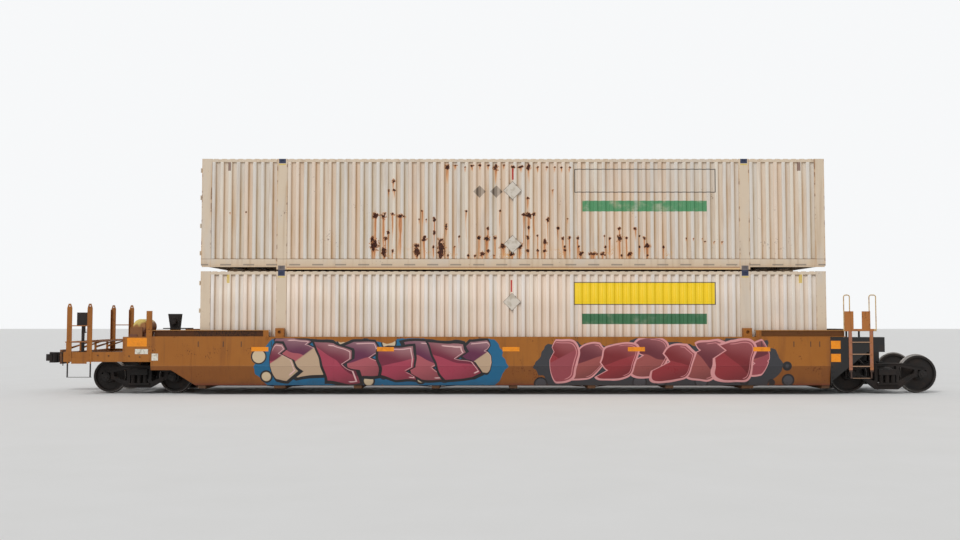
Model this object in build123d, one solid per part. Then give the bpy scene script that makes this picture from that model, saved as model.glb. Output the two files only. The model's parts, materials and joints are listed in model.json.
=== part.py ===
from build123d import *
import os

# One unit of an articulated double-stack well car, with two stacked 53-ft containers.
# X runs along the car with the coupler at -X, -Y is the near side, Z is up from the rail top.
# All sizes are in millimetres.

# Containers
BOX_LENGTH = 16154
BOX_WIDTH = 2591
BOX_HEIGHT = 2896
STACK_GAP = 30
FITTING_PITCH = 11985
FITTING_LONG = 178
FITTING_DEEP = 162
FITTING_HIGH = 118
END_POST = 255
MID_POST = 270
POST_DEPTH = 60
TOP_RAIL = 60
RAIL_DROP = 25
RAIL_BASE = 15
END_RAIL_BASE = 115
RAIL_TOP = 290
CORRUGATION = 210
CORRUGATION_DEEP = 36
WALL = 50
ROOF_RIB = 210
ROOF_RIB_DEEP = 16
ROOF_RISE = 14
ROOF = 30
FLOOR = 40
FLOOR_BEAMS = 25
END_BEAM = 80
DOOR_THICK = 40
DOOR_RECESS = 20
DOOR_GAP = 16
DOOR_EDGE_GAP = 6
DOOR_POST = 120
DOOR_SILL = 170
DOOR_HEADER = 130
DOOR_PIN_OUT = 23
DOOR_PIN_SIDE = 1.5
LOCK_ROD_R = 17
LOCK_ROD_STAND = 22
HINGE_R = 14
HINGE_PIN_R = 8
KNUCKLE_HALF = 40
LUG_THICK = 16
RUNNING_GAP = 0.5

HALF_L = BOX_LENGTH / 2
HALF_W = BOX_WIDTH / 2
TOP_FACE = BOX_HEIGHT - RAIL_DROP
FITTING_X = FITTING_PITCH / 2
BOX_FLOOR_Z = END_RAIL_BASE + DOOR_SILL

# Well: side sills, floor and ends, a clearance wider and longer than the box
SIDE_CLEAR = 29.5
END_CLEAR = 61
CHORD_WIDE = 175
CHORD_TOP = 1457
CHORD_DEPTH = 160
WEB = 12
FOLD_Z = 710
TOE_IN = 85
SILL_BOTTOM = 220
FLANGE_THICK = 22
FLANGE_WIDE = 125
PLATE = 20
WELL_FLOOR_Z = 250
BEARER_DEPTH = 125
BEARER_WIDE = 200
FITTING_BEARER_WIDE = 300
END_BEARER_IN = 148
STRINGER_Y = 500
STRINGER_WIDE = 120

WELL_HALF = HALF_W + SIDE_CLEAR
WELL_END = HALF_L + END_CLEAR
SILL_OUT = WELL_HALF + CHORD_WIDE
TOE_OUT = SILL_OUT - TOE_IN
FLANGE_IN = TOE_OUT - FLANGE_WIDE
BEARER_LOW = WELL_FLOOR_Z - BEARER_DEPTH

# Running gear
TRUCK_OFFSET = 1562
BACK_TO_BACK = 1360
RIM_WIDTH = 145
FLANGE = 25
JOURNAL_Y = 1003
BEARING_R = 105
AXLE_R = 88
HUB_R = 150
CENTRE_PLATE_Z = 668
SIDE_BEARING_Y = 635
SIDE_BEARING_HIGH = 122
SIDE_BEARING_GAP = 6

TRUCK_X = WELL_END + TRUCK_OFFSET
SIDE_BEARING_Z = CENTRE_PLATE_Z + SIDE_BEARING_HIGH + SIDE_BEARING_GAP

# Raised channels on the chords, and container guides
CHANNEL_HEIGHT = 173
CHANNEL_FLANGE = 12
CHANNEL_LUG_R = 70
GUIDE_WIDE = 220
GUIDE_HIGH = 223
GUIDE_HOLE_R = 45

# Coupler end
SIDE_X0 = -TRUCK_X + 430
TRUCK_CUT_Z = 607
TRUCK_CUT_LONG = 520
BOLSTER_X0 = -TRUCK_X - 290
BOLSTER_WIDE = 460
BOLSTER_KNEE_Y = 740
BOLSTER_TIP_Z = 900
PANEL_BOTTOM = 820
DECK_Z = 1040
STUB_HALF = 190
STUB_BOTTOM = 760
STUB_WALL = 25
END_SILL_OUT = 1800
END_SILL_X = -TRUCK_X - END_SILL_OUT
END_SILL_DEEP = 100
BEAM_TOP = 1070
BEAM_WIDE = 80
STRIKER_OUT = 620
STRIKER_X = END_SILL_X - STRIKER_OUT
STRIKER_HALF = 250
POCKET_LONG = 500
PLATFORM_TOP = 1335
PLATFORM_LONG = 650
PLATFORM_POST_Y = 500
COUPLER_Z = 876
COUPLER_PIVOT_X = END_SILL_X - 60
DRAFT_PIN_R = 45
KNUCKLE_X = STRIKER_X - 275
KNUCKLE_Y = -105
KNUCKLE_PIN_R = 20
PIPE_R = 21
PIPE_Y = 330
PIPE_Z = 905
PIPE_HANGERS = (220, 1020, 1820)

# Joint end
SIDE_X1 = WELL_END - 48
ARM_X1 = TRUCK_X - 220
ARM_BOTTOM = 1070
ARM_TOP = 1450
JOINT_DECK_Z = 1100
JOINT_SILL_BOTTOM = 780
CROSS_BEAM_LONG = 300
CROSS_BEAM_TOP = 1400
PIN_BORE_R = 57
PIN_Z = 880
CHEEK_OUT = 180
CHEEK_THICK = 70
JOINT_PLATFORM_Z = 1637
JOINT_PLATFORM_LONG = 640
JOINT_LADDER_X = ARM_X1 - 600
GRATING_DEEP = 30
GRATING_EDGE = 25
GRATING_BAR = 12

# Ladders
STILE_THICK = 12
RUNG_R = 13
HOOP_R = 14

OUT = "parts"


# Plain shapes given by their limits
def block(x0, x1, y0, y1, z0, z1):
    centre = Pos((x0 + x1) / 2, (y0 + y1) / 2, (z0 + z1) / 2)
    return centre * Box(abs(x1 - x0), abs(y1 - y0), abs(z1 - z0))


def prism(points, direction):
    return Solid.extrude(Face(Wire.make_polygon([Vector(*p) for p in points])), Vector(*direction))


def prism_x(points, x0, x1):
    return prism([(x0, y, z) for y, z in points], (x1 - x0, 0, 0))


def prism_y(points, y0, y1):
    return prism([(x, y0, z) for x, z in points], (0, y1 - y0, 0))


def prism_z(points, z0, z1):
    return prism([(x, y, z0) for x, y in points], (0, 0, z1 - z0))


# Round stock where another piece turns on it, and eight-sided stock for slim bars and pipes
def rod(start, end, radius):
    a = Vector(*start)
    b = Vector(*end)
    return Solid.make_cylinder(radius, (b - a).length, Plane(origin=a, z_dir=b - a))


def bar(start, end, radius, sides=8):
    a = Vector(*start)
    along = Vector(*end) - a
    section = Plane(origin=a, z_dir=along) * RegularPolygon(radius, sides)
    return Solid.extrude(section.face(), along)


def bent_bar(points, bend, radius):
    path = FilletPolyline(*points, radius=bend)
    start = Vector(*points[0])
    tangent = Vector(*points[1]) - start
    return sweep(Plane(origin=start, z_dir=tangent) * RegularPolygon(radius, 8), path=path)


def far(shape):
    return mirror(shape, about=Plane.XZ)


def fuse(*shapes):
    first = shapes[0]
    return first.fuse(*shapes[1:]).clean() if len(shapes) > 1 else first


def both_sides(y0, y1):
    """The two y ranges, lower limit first, of a piece that stands on each side of the centreline."""
    return (-y1, -y0), (y0, y1)


# Side sill: box chord on top, thin web that folds inwards, bottom flange, and ribs behind the web
CHORD_BOTTOM = CHORD_TOP - CHORD_DEPTH
WEB_IN = SILL_OUT - WEB
TOE_WEB_IN = TOE_OUT - WEB + 4
FLANGE_TOP = SILL_BOTTOM + FLANGE_THICK
FOLD_INNER_Z = FOLD_Z + 2


def side_section():
    return [
        (SILL_OUT, CHORD_TOP),
        (SILL_OUT, FOLD_Z),
        (TOE_OUT, SILL_BOTTOM),
        (FLANGE_IN, SILL_BOTTOM),
        (FLANGE_IN, FLANGE_TOP),
        (TOE_WEB_IN, FLANGE_TOP),
        (WEB_IN, FOLD_INNER_Z),
        (WEB_IN, CHORD_BOTTOM),
        (WELL_HALF, CHORD_BOTTOM),
        (WELL_HALF, CHORD_TOP),
    ]


def side_rib(x):
    inside = [
        (WEB_IN, CHORD_BOTTOM),
        (WEB_IN, FOLD_INNER_Z),
        (TOE_WEB_IN, FLANGE_TOP),
        (WELL_HALF, FLANGE_TOP),
        (WELL_HALF, CHORD_BOTTOM),
    ]
    return prism_x(inside, x - WEB / 2, x + WEB / 2)


def container_guide(x):
    outer = SILL_OUT - 20
    body = block(x - GUIDE_WIDE / 2, x + GUIDE_WIDE / 2, WELL_HALF, outer, CHORD_TOP, CHORD_TOP + GUIDE_HIGH)
    hole_z = CHORD_TOP + 0.55 * GUIDE_HIGH
    return body - bar((x, outer - 70, hole_z), (x, outer + 1, hole_z), GUIDE_HOLE_R, 16)


# Bearers stand under the 40-ft fittings, at thirds between them and near the ends of the well
INNER_BEARERS = [i * FITTING_PITCH / 6 for i in range(-3, 4)]
BEARERS = [-WELL_END + END_BEARER_IN, *INNER_BEARERS, WELL_END - END_BEARER_IN]


def side_sill():
    cut_end = -WELL_END - WEB
    truck_cut = [(SIDE_X0 - 10, TRUCK_CUT_Z), (SIDE_X0 + TRUCK_CUT_LONG, TRUCK_CUT_Z),
                 (cut_end, SILL_BOTTOM), (cut_end, 0), (SIDE_X0 - 10, 0)]
    sill = prism_x(side_section(), SIDE_X0, SIDE_X1) - prism_y(truck_cut, FLANGE_IN - 10, SILL_OUT + 10)
    ribs = [side_rib(x) for x in BEARERS]
    guides = [container_guide(x) for x in (-FITTING_X, FITTING_X)]
    return fuse(sill, *ribs, *guides)


# Raised channels: they stand on the chord, open outwards, and end in a rounded lug
def raised_channel(x0, x1, lug_x):
    bottom = CHORD_TOP
    top = CHORD_TOP + CHANNEL_HEIGHT
    inner = WELL_HALF + 10
    outer = SILL_OUT - 10
    section = [
        (inner, bottom),
        (outer, bottom),
        (outer, bottom + CHANNEL_FLANGE),
        (inner + CHANNEL_FLANGE, bottom + CHANNEL_FLANGE),
        (inner + CHANNEL_FLANGE, top - CHANNEL_FLANGE),
        (outer, top - CHANNEL_FLANGE),
        (outer, top),
        (inner, top),
    ]
    lug_x0, lug_x1 = lug_x - CHANNEL_LUG_R, lug_x + CHANNEL_LUG_R
    face = SILL_OUT + STILE_THICK
    lug = block(lug_x0, lug_x1, SILL_OUT, face, bottom, top)
    lug_end = rod((lug_x, SILL_OUT, bottom), (lug_x, face, bottom), CHANNEL_LUG_R)
    root = block(lug_x0, lug_x1, inner, SILL_OUT, bottom, bottom + CHANNEL_FLANGE)
    crown = block(lug_x0, lug_x1, inner, SILL_OUT, top - CHANNEL_FLANGE, top)
    return fuse(prism_x(section, x0, x1), root, crown, lug, lug_end)


# Well floor: cross-bearers, wider where the 40-ft fittings stand, on two stringers with flat braces
def well_floor():
    pieces = []
    tab = TOE_OUT - 30
    for x in BEARERS:
        half = FITTING_BEARER_WIDE / 2 if abs(x) == FITTING_X else BEARER_WIDE / 2
        pieces.append(block(x - half, x + half, -FLANGE_IN, FLANGE_IN, BEARER_LOW, WELL_FLOOR_Z))
        pieces.append(block(x - half, x + half, -tab, tab, BEARER_LOW + 25, SILL_BOTTOM))
    for y0, y1 in both_sides(STRINGER_Y - STRINGER_WIDE / 2, STRINGER_Y + STRINGER_WIDE / 2):
        pieces.append(block(-WELL_END, WELL_END, y0, y1, BEARER_LOW + 25, WELL_FLOOR_Z - 25))
    strap_y = (FLANGE_IN - 50, FLANGE_IN - 130)
    for i, (x0, x1) in enumerate(zip(BEARERS, BEARERS[1:])):
        side = 1 if i % 2 else -1
        strap = [(x0, -side * strap_y[0]), (x0, -side * strap_y[1]),
                 (x1, side * strap_y[0]), (x1, side * strap_y[1])]
        pieces.append(prism_z(strap, BEARER_LOW + 30, BEARER_LOW + 45))
    return fuse(*pieces)


# End of the well: a bulkhead across it and a deck plate over the truck
def well_end_section(z_top):
    slack = 3
    half = [
        (FLANGE_IN, BEARER_LOW + 25),
        (FLANGE_IN, FLANGE_TOP),
        (TOE_OUT - WEB, FLANGE_TOP),
        (WEB_IN - slack, FOLD_Z + 10),
        (WEB_IN - slack, z_top),
    ]
    return half + [(-y, z) for y, z in reversed(half)]


def coupler_end_deck():
    wall_x = -WELL_END - WEB
    wall = prism_x(well_end_section(DECK_Z + PLATE), wall_x, -WELL_END)
    narrow = SILL_OUT - PLATE
    deck = fuse(block(BOLSTER_X0, SIDE_X0, -narrow, narrow, DECK_Z, DECK_Z + PLATE),
                block(SIDE_X0, -WELL_END, -WEB_IN, WEB_IN, DECK_Z, DECK_Z + PLATE))
    gussets = []
    for y in (-STUB_HALF + 10, STUB_HALF - 10):
        knee = [(wall_x, STUB_BOTTOM), (wall_x, STUB_BOTTOM - 440), (wall_x - 248, STUB_BOTTOM)]
        gussets.append(prism_y(knee, y - WEB / 2, y + WEB / 2))
    for y in (-700, 700):
        brace = [(wall_x, DECK_Z), (wall_x, DECK_Z - 120), (wall_x - 288, DECK_Z)]
        gussets.append(prism_y(brace, y - WEB / 2, y + WEB / 2))
    return fuse(wall, deck, *gussets)


# Body bolster: crosses the car over the end truck, drops to the centre plate, and carries side panels
def body_bolster():
    x0, x1 = -TRUCK_X - BOLSTER_WIDE / 2, -TRUCK_X + BOLSTER_WIDE / 2
    outer = SILL_OUT - PLATE
    half = [
        (400, CENTRE_PLATE_Z + 32),
        (SIDE_BEARING_Y - 80, CENTRE_PLATE_Z + 132),
        (BOLSTER_KNEE_Y, BOLSTER_TIP_Z - 10),
        (outer, BOLSTER_TIP_Z),
        (outer, DECK_Z),
    ]
    pieces = [prism_x(half + [(-y, z) for y, z in reversed(half)], x0, x1)]
    for y0, y1 in both_sides(SILL_OUT - PLATE, SILL_OUT):
        pieces.append(block(BOLSTER_X0, SIDE_X0, y0, y1, PANEL_BOTTOM, CHORD_TOP))
    for y0, y1 in both_sides(WELL_HALF, SILL_OUT):
        pieces.append(block(BOLSTER_X0, SIDE_X0, y0, y1, CHORD_BOTTOM, CHORD_TOP))
    for y0, y1 in both_sides(SIDE_BEARING_Y - 90, SIDE_BEARING_Y + 90):
        pieces.append(block(-TRUCK_X - 110, -TRUCK_X + 110, y0, y1, SIDE_BEARING_Z, BOLSTER_TIP_Z))
    plate = rod((-TRUCK_X, 0, CENTRE_PLATE_Z), (-TRUCK_X, 0, CENTRE_PLATE_Z + 40), 178)
    tunnel = block(x0 - 5, x1 + 5, -STUB_HALF, STUB_HALF, STUB_BOTTOM, DECK_Z)
    return fuse(*pieces, plate) - tunnel


# Stub sill: from the well bulkhead out to the striker, hollow where the draft gear sits
def stub_sill():
    inner = STUB_HALF - STUB_WALL
    ceiling = DECK_Z - STUB_WALL
    sill = block(STRIKER_X, -WELL_END - WEB, -STUB_HALF, STUB_HALF, STUB_BOTTOM, DECK_Z)
    striker = block(STRIKER_X, STRIKER_X + 60, -STRIKER_HALF, STRIKER_HALF, STUB_BOTTOM - 50, DECK_Z + 50)
    pocket = block(STRIKER_X - 1, END_SILL_X + POCKET_LONG, -inner, inner, STUB_BOTTOM - 1, ceiling)
    mouth = block(STRIKER_X - 1, STRIKER_X + 61, -inner, inner, STUB_BOTTOM + 20, ceiling)
    carrier = block(STRIKER_X, STRIKER_X + 60, -inner - 5, inner + 5, STUB_BOTTOM - 50, STUB_BOTTOM + 20)
    shell = fuse(sill, striker) - pocket - mouth
    pin = rod((COUPLER_PIVOT_X, 0, ceiling), (COUPLER_PIVOT_X, 0, STUB_BOTTOM + 20), DRAFT_PIN_R)
    strap = block(COUPLER_PIVOT_X - 60, COUPLER_PIVOT_X + 60, -inner, inner, STUB_BOTTOM, STUB_BOTTOM + 20)
    return fuse(shell, carrier, pin, strap)


# End sill and the low side beams that carry the ladders
def end_sill():
    back = END_SILL_X + END_SILL_DEEP
    sill = block(END_SILL_X, back, -SILL_OUT, SILL_OUT, PANEL_BOTTOM, BEAM_TOP)
    beams = []
    for side in (-1, 1):
        y0, y1 = sorted((side * (SILL_OUT - BEAM_WIDE), side * SILL_OUT))
        w0, w1 = sorted((side * (SILL_OUT - BEAM_WIDE - 1), side * WEB_IN))
        hollow = block(back, BOLSTER_X0 - PLATE, w0, w1, PANEL_BOTTOM + WEB, BEAM_TOP - WEB)
        beams.append(block(END_SILL_X, BOLSTER_X0, y0, y1, PANEL_BOTTOM, BEAM_TOP) - hollow)
    tunnel = block(END_SILL_X - 5, back + 5, -STUB_HALF, STUB_HALF, STUB_BOTTOM, DECK_Z)
    pipe_hole = bar((END_SILL_X - 5, PIPE_Y, PIPE_Z), (back + 5, PIPE_Y, PIPE_Z), PIPE_R + 6, 12)
    return fuse(sill - tunnel - pipe_hole, *beams)


# Crossover platforms: open grating bars in a frame, on posts and struts
def grating(x0, x1, half, top, bars):
    low = top - GRATING_DEEP
    edge = GRATING_EDGE
    rim = block(x0, x1, -half, half, low, top)
    rim = rim - block(x0 + edge, x1 - edge, -half + edge, half - edge, low - 5, top + 5)
    slats = []
    step = (x1 - x0) / (bars + 1)
    reach = half - edge + 5
    thin = GRATING_BAR / 2
    for i in range(bars):
        x = x0 + step * (i + 1)
        slats.append(block(x - thin, x + thin, -reach, reach, low, top))
    ties = []
    for y in (-half / 2, 0, half / 2):
        ties.append(block(x0 + edge - 5, x1 - edge + 5, y - thin, y + thin, low, top - 8))
    return fuse(rim, *slats, *ties)


def coupler_platform():
    half = SILL_OUT - 100
    x1 = END_SILL_X + PLATFORM_LONG
    low = PLATFORM_TOP - GRATING_DEEP
    pieces = [grating(END_SILL_X, x1, half, PLATFORM_TOP, 8)]
    for y in (-half + 50, -PLATFORM_POST_Y, PLATFORM_POST_Y, half - 50):
        pieces.append(block(END_SILL_X + 5, END_SILL_X + 65, y - 6, y + 6, BEAM_TOP, low))
        pieces.append(block(END_SILL_X + 5, END_SILL_X + 65, y - 30, y + 30, BEAM_TOP, BEAM_TOP + WEB))
        strut = [(END_SILL_X + 30, BEAM_TOP + 40), (END_SILL_X + 30, BEAM_TOP + 100), (x1 - 90, low + 15),
                 (x1 - 10, low + 15)]
        pieces.append(prism_y(strut, y - 6, y + 6))
    return fuse(*pieces)


# Ladder posts at the coupler end: tapered flat stiles with a hole, two rungs and a sill step
STILE_IN = 80
STILE_WIDE = 130
STILE_PITCH = 520
STILES_X = [(END_SILL_X + x, END_SILL_X + x + STILE_WIDE) for x in (STILE_IN, STILE_IN + STILE_PITCH)]
LADDER_TOP = 2305
LADDER_RUNGS_Z = (1740, 1330)
STEP_BOTTOM = 435
KICK_PLATE_Z = (772, 915)
TIP_DROP = 110


def coupler_ladder():
    y0, y1 = SILL_OUT, SILL_OUT + STILE_THICK
    pieces = []
    for x0, x1 in STILES_X:
        middle = (x0 + x1) / 2
        shoulder = LADDER_TOP - TIP_DROP
        outline = [(x0, PANEL_BOTTOM), (x0, shoulder), (middle - 30, LADDER_TOP), (middle + 30, LADDER_TOP),
                   (x1, shoulder), (x1, PANEL_BOTTOM)]
        hole_z = LADDER_TOP - 60
        pieces.append(prism_y(outline, y0, y1) - bar((middle, y0 - 1, hole_z), (middle, y1 + 1, hole_z), 16))
        pieces.append(block(x0, x0 + 10, y0 - 60, y0, BEAM_TOP, shoulder - 20))
    rung_y = y0 + RUNG_R
    for z in LADDER_RUNGS_Z:
        pieces.append(bar((STILES_X[0][1] - 40, rung_y, z), (STILES_X[1][0] + 40, rung_y, z), RUNG_R))
    pieces.append(block(STILES_X[0][1], STILES_X[1][0], y0, y1, *KICK_PLATE_Z))
    for x in (STILES_X[0][0] + 15, STILES_X[1][1] - 50):
        pieces.append(block(x, x + 35, y0, y1, STEP_BOTTOM, PANEL_BOTTOM))
    tread = block(STILES_X[0][0] + 15, STILES_X[1][1] - 15, y0 - 35, y1, STEP_BOTTOM - 12, STEP_BOTTOM)
    return fuse(*pieces, tread)


# Post plate on the near chord, a bent plate that stands up beside the reservoir
POST_X0 = -TRUCK_X + 300
POST_WIDE = 150
POST_TOP = 2120
POST_Y = -SILL_OUT + 20


def post_plate():
    plate = block(POST_X0, POST_X0 + POST_WIDE, POST_Y, POST_Y + 10, CHORD_TOP, POST_TOP)
    lip = block(POST_X0, POST_X0 + 10, POST_Y + 10, POST_Y + 24, CHORD_TOP, POST_TOP)
    return fuse(plate, lip)


# Air reservoir across the car, on a stepped bracket at the near chord and a saddle on the deck
TANK_X = -TRUCK_X + 130
TANK_Z = 1710
TANK_R = 200
TANK_LONG = 760
TANK_Y0 = -SILL_OUT + 50
TANK_DOME = 60


def air_reservoir():
    y0, y1 = TANK_Y0, TANK_Y0 + TANK_LONG
    profile = [(TANK_R - TANK_DOME, y0), (TANK_R, y0 + TANK_DOME), (TANK_R, y1 - TANK_DOME),
               (TANK_R - TANK_DOME, y1), (0, y1), (0, y0)]
    face = Face(Wire.make_polygon([Vector(TANK_X + r, y, TANK_Z) for r, y in profile]))
    tank = revolve(face, Axis((TANK_X, 0, TANK_Z), (0, 1, 0)))
    foot_x0 = TANK_X - 260
    near_foot = block(foot_x0, POST_X0 - 5, y0 + 60, y0 + 120, CHORD_TOP, TANK_Z - 40)
    far_foot = block(TANK_X - 130, TANK_X + 130, y1 - 120, y1 - 60, DECK_Z + PLATE, TANK_Z - 40)
    step = block(foot_x0, TANK_X - 60, y0 - 40, y0 + 120, CHORD_TOP, TANK_Z - 190)
    return fuse(tank, near_foot, far_foot, step)


# Brake valve: a waisted column on the deck with a round cover on each side
VALVE_X0 = -TRUCK_X + 430
VALVE_LONG = 300
VALVE_HALF = 150
VALVE_WAIST_Z = 1670
VALVE_TOP = 2050
VALVE_COVER_Z = 1860


def brake_valve():
    x0, x1 = VALVE_X0, VALVE_X0 + VALVE_LONG
    base = DECK_Z + PLATE
    column = [(x0 + 70, base), (x1 - 60, base), (x1 - 40, VALVE_WAIST_Z), (x1, VALVE_TOP), (x0, VALVE_TOP),
              (x0 + 60, VALVE_WAIST_Z)]
    body = prism_y(column, -VALVE_HALF, VALVE_HALF)
    flange = block(x0 + 30, x1 - 20, -VALVE_HALF - 50, VALVE_HALF + 50, base, base + 20)
    middle = (x0 + x1) / 2
    near_cover = rod((middle, -VALVE_HALF, VALVE_COVER_Z), (middle, -VALVE_HALF - 85, VALVE_COVER_Z), 95)
    far_cover = rod((middle, VALVE_HALF, VALVE_COVER_Z), (middle, VALVE_HALF + 65, VALVE_COVER_Z), 80)
    return fuse(body, flange, near_cover, far_cover)


# Brake cylinder lying on the deck, with its push rod carried by a pedestal
CYLINDER_X0 = -TRUCK_X + 550
CYLINDER_LONG = 390
CYLINDER_Y = 760
CYLINDER_R = 135


def brake_cylinder():
    base = DECK_Z + PLATE
    y = CYLINDER_Y
    z = base + CYLINDER_R + 35
    x1 = CYLINDER_X0 + CYLINDER_LONG
    drum = rod((CYLINDER_X0, y, z), (x1, y, z), CYLINDER_R)
    flange = rod((x1 - 30, y, z), (x1, y, z), CYLINDER_R + 30)
    nose = Solid.make_cone(CYLINDER_R - 15, 45, 90, Plane(origin=(x1, y, z), z_dir=(1, 0, 0)))
    push = bar((x1 + 90, y, z), (x1 + 310, y, z), 22)
    foot = block(CYLINDER_X0 + 50, x1 - 50, y - 100, y + 100, base, z - 90)
    pedestal = block(x1 + 290, x1 + 330, y - 40, y + 40, base, z + 60)
    return fuse(drum, flange, nose, push, foot, pedestal)


# Hand brake: a box on a post between the near ladder's stiles, with its lever on the inner side
HAND_BRAKE_X = END_SILL_X + 455
HAND_BRAKE_Z = (1735, 2080)
HAND_BRAKE_Y = (-SILL_OUT + 40, -SILL_OUT + 170)


def hand_brake():
    x = HAND_BRAKE_X
    z0, z1 = HAND_BRAKE_Z
    y0, y1 = HAND_BRAKE_Y
    post = block(x - 35, x + 45, y0 + 40, y0 + 50, BEAM_TOP, z0 + 10)
    base = block(x - 55, x + 65, y0 - 20, y0 + 50, BEAM_TOP, BEAM_TOP + WEB)
    shelf = block(x - 75, x + 75, y0 + 35, y0 + 110, z0 - 10, z0)
    housing = block(x - 140, x + 140, y0, y1, z0, z1)
    hub_z = z1 - 150
    hub = rod((x, y1, hub_z), (x, y1 + 40, hub_z), 60)
    lever = block(x - 17, x + 17, y1 + 20, y1 + 40, hub_z - 370, hub_z)
    grip = bar((x, y1 + 30, hub_z - 360), (x, y1 + 120, hub_z - 360), 15)
    return fuse(post, base, shelf, housing, hub, lever, grip)


# Uncoupling lever: a bent rod across the near half of the end sill, in two brackets
LEVER_X = END_SILL_X - 35
LEVER_Z = 935
LEVER_R = 13


def uncoupling_lever():
    handle_y = -SILL_OUT + 70
    path = [(LEVER_X, handle_y, LEVER_Z - 215), (LEVER_X, handle_y, LEVER_Z), (LEVER_X, -PIPE_Y, LEVER_Z),
            (STRIKER_X + 20, -STRIKER_HALF - 40, LEVER_Z + 75)]
    brackets = [block(LEVER_X - 20, END_SILL_X, y - 8, y + 8, LEVER_Z - 20, LEVER_Z + 20)
                for y in (handle_y + 130, -PIPE_Y - 90)]
    return fuse(bent_bar(path, 45, LEVER_R), *brackets)


# Brake pipe: along the far side of the stub sill, up through the deck to the valve, with an angle cock
def brake_pipe():
    y = PIPE_Y
    z = PIPE_Z
    rise_x = -TRUCK_X - 450
    over_z = DECK_Z + 140
    valve_x = VALVE_X0 + VALVE_LONG / 2
    points = [(STRIKER_X + 60, y, z), (rise_x, y, z), (rise_x + 90, y, over_z), (valve_x - 200, y, over_z),
              (valve_x, y - 70, over_z), (valve_x, VALVE_HALF, over_z)]
    pipe = bent_bar(points, 60, PIPE_R)
    cock = bar((STRIKER_X - 10, y, z), (STRIKER_X + 110, y, z), 38, 12)
    handle = block(STRIKER_X + 30, STRIKER_X + 60, y - 10, y + 130, z + 30, z + 42)
    nozzle = bar((STRIKER_X - 5, y, z), (STRIKER_X - 60, y, z - 55), 32, 12)
    hangers = [block(STRIKER_X + x - 15, STRIKER_X + x + 15, STUB_HALF, y, z - 10, z + 10)
               for x in PIPE_HANGERS]
    return fuse(pipe, cock, handle, nozzle, *hangers)


# Coupler: shank, head with guard arm, and the knuckle on its vertical pin
SHANK_HALF = 65
HEAD_HALF = 135
HEAD_LUG = 40


def coupler_head():
    z0, z1 = COUPLER_Z - SHANK_HALF, COUPLER_Z + SHANK_HALF
    x, y = KNUCKLE_X, KNUCKLE_Y
    shank = block(x + 205, COUPLER_PIVOT_X, -SHANK_HALF, SHANK_HALF, z0, z1)
    eye = rod((COUPLER_PIVOT_X, 0, z0), (COUPLER_PIVOT_X, 0, z1), DRAFT_PIN_R + 50)
    hole_r = DRAFT_PIN_R + 2 * RUNNING_GAP
    pin_hole = rod((COUPLER_PIVOT_X, 0, z0 - 1), (COUPLER_PIVOT_X, 0, z1 + 1), hole_r)
    shoulder = block(x + 65, x + 205, -120, 130, COUPLER_Z - HEAD_HALF + 15, COUPLER_Z + HEAD_HALF - 25)
    outline = [(x + 155, -150), (x + 155, 160), (x - 5, 205), (x - 165, 235), (x - 195, 205), (x - 75, 150),
               (x - 25, 95), (x + 50, 40), (x + 75, -40), (x + 50, -150), (x + 95, -185)]
    head = prism_z(outline, COUPLER_Z - HEAD_HALF, COUPLER_Z + HEAD_HALF)
    lugs = []
    for z in (COUPLER_Z - HEAD_HALF, COUPLER_Z + HEAD_HALF - HEAD_LUG):
        lugs.append(fuse(rod((x, y, z), (x, y, z + HEAD_LUG), 62),
                         block(x, x + 110, y - 62, y + 62, z, z + HEAD_LUG)))
    pin = rod((x, y, COUPLER_Z - HEAD_HALF), (x, y, COUPLER_Z + HEAD_HALF + 10), KNUCKLE_PIN_R)
    return fuse(shank, shoulder, head, *lugs, pin, eye) - pin_hole


def knuckle():
    x, y = KNUCKLE_X, KNUCKLE_Y
    reach = HEAD_HALF - HEAD_LUG - 7
    z0, z1 = COUPLER_Z - reach, COUPLER_Z + reach
    hub = rod((x, y, z0), (x, y, z1), 48)
    outline = [(x + 20, y - 44), (x - 80, y - 55), (x - 150, y - 20), (x - 172, y + 50), (x - 150, y + 110),
               (x - 105, y + 118), (x - 95, y + 60), (x - 55, y + 30), (x + 10, y + 46)]
    hook = prism_z(outline, z0, z1)
    return fuse(hub, hook) - rod((x, y, z0 - 1), (x, y, z1 + 1), KNUCKLE_PIN_R + RUNNING_GAP)


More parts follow.
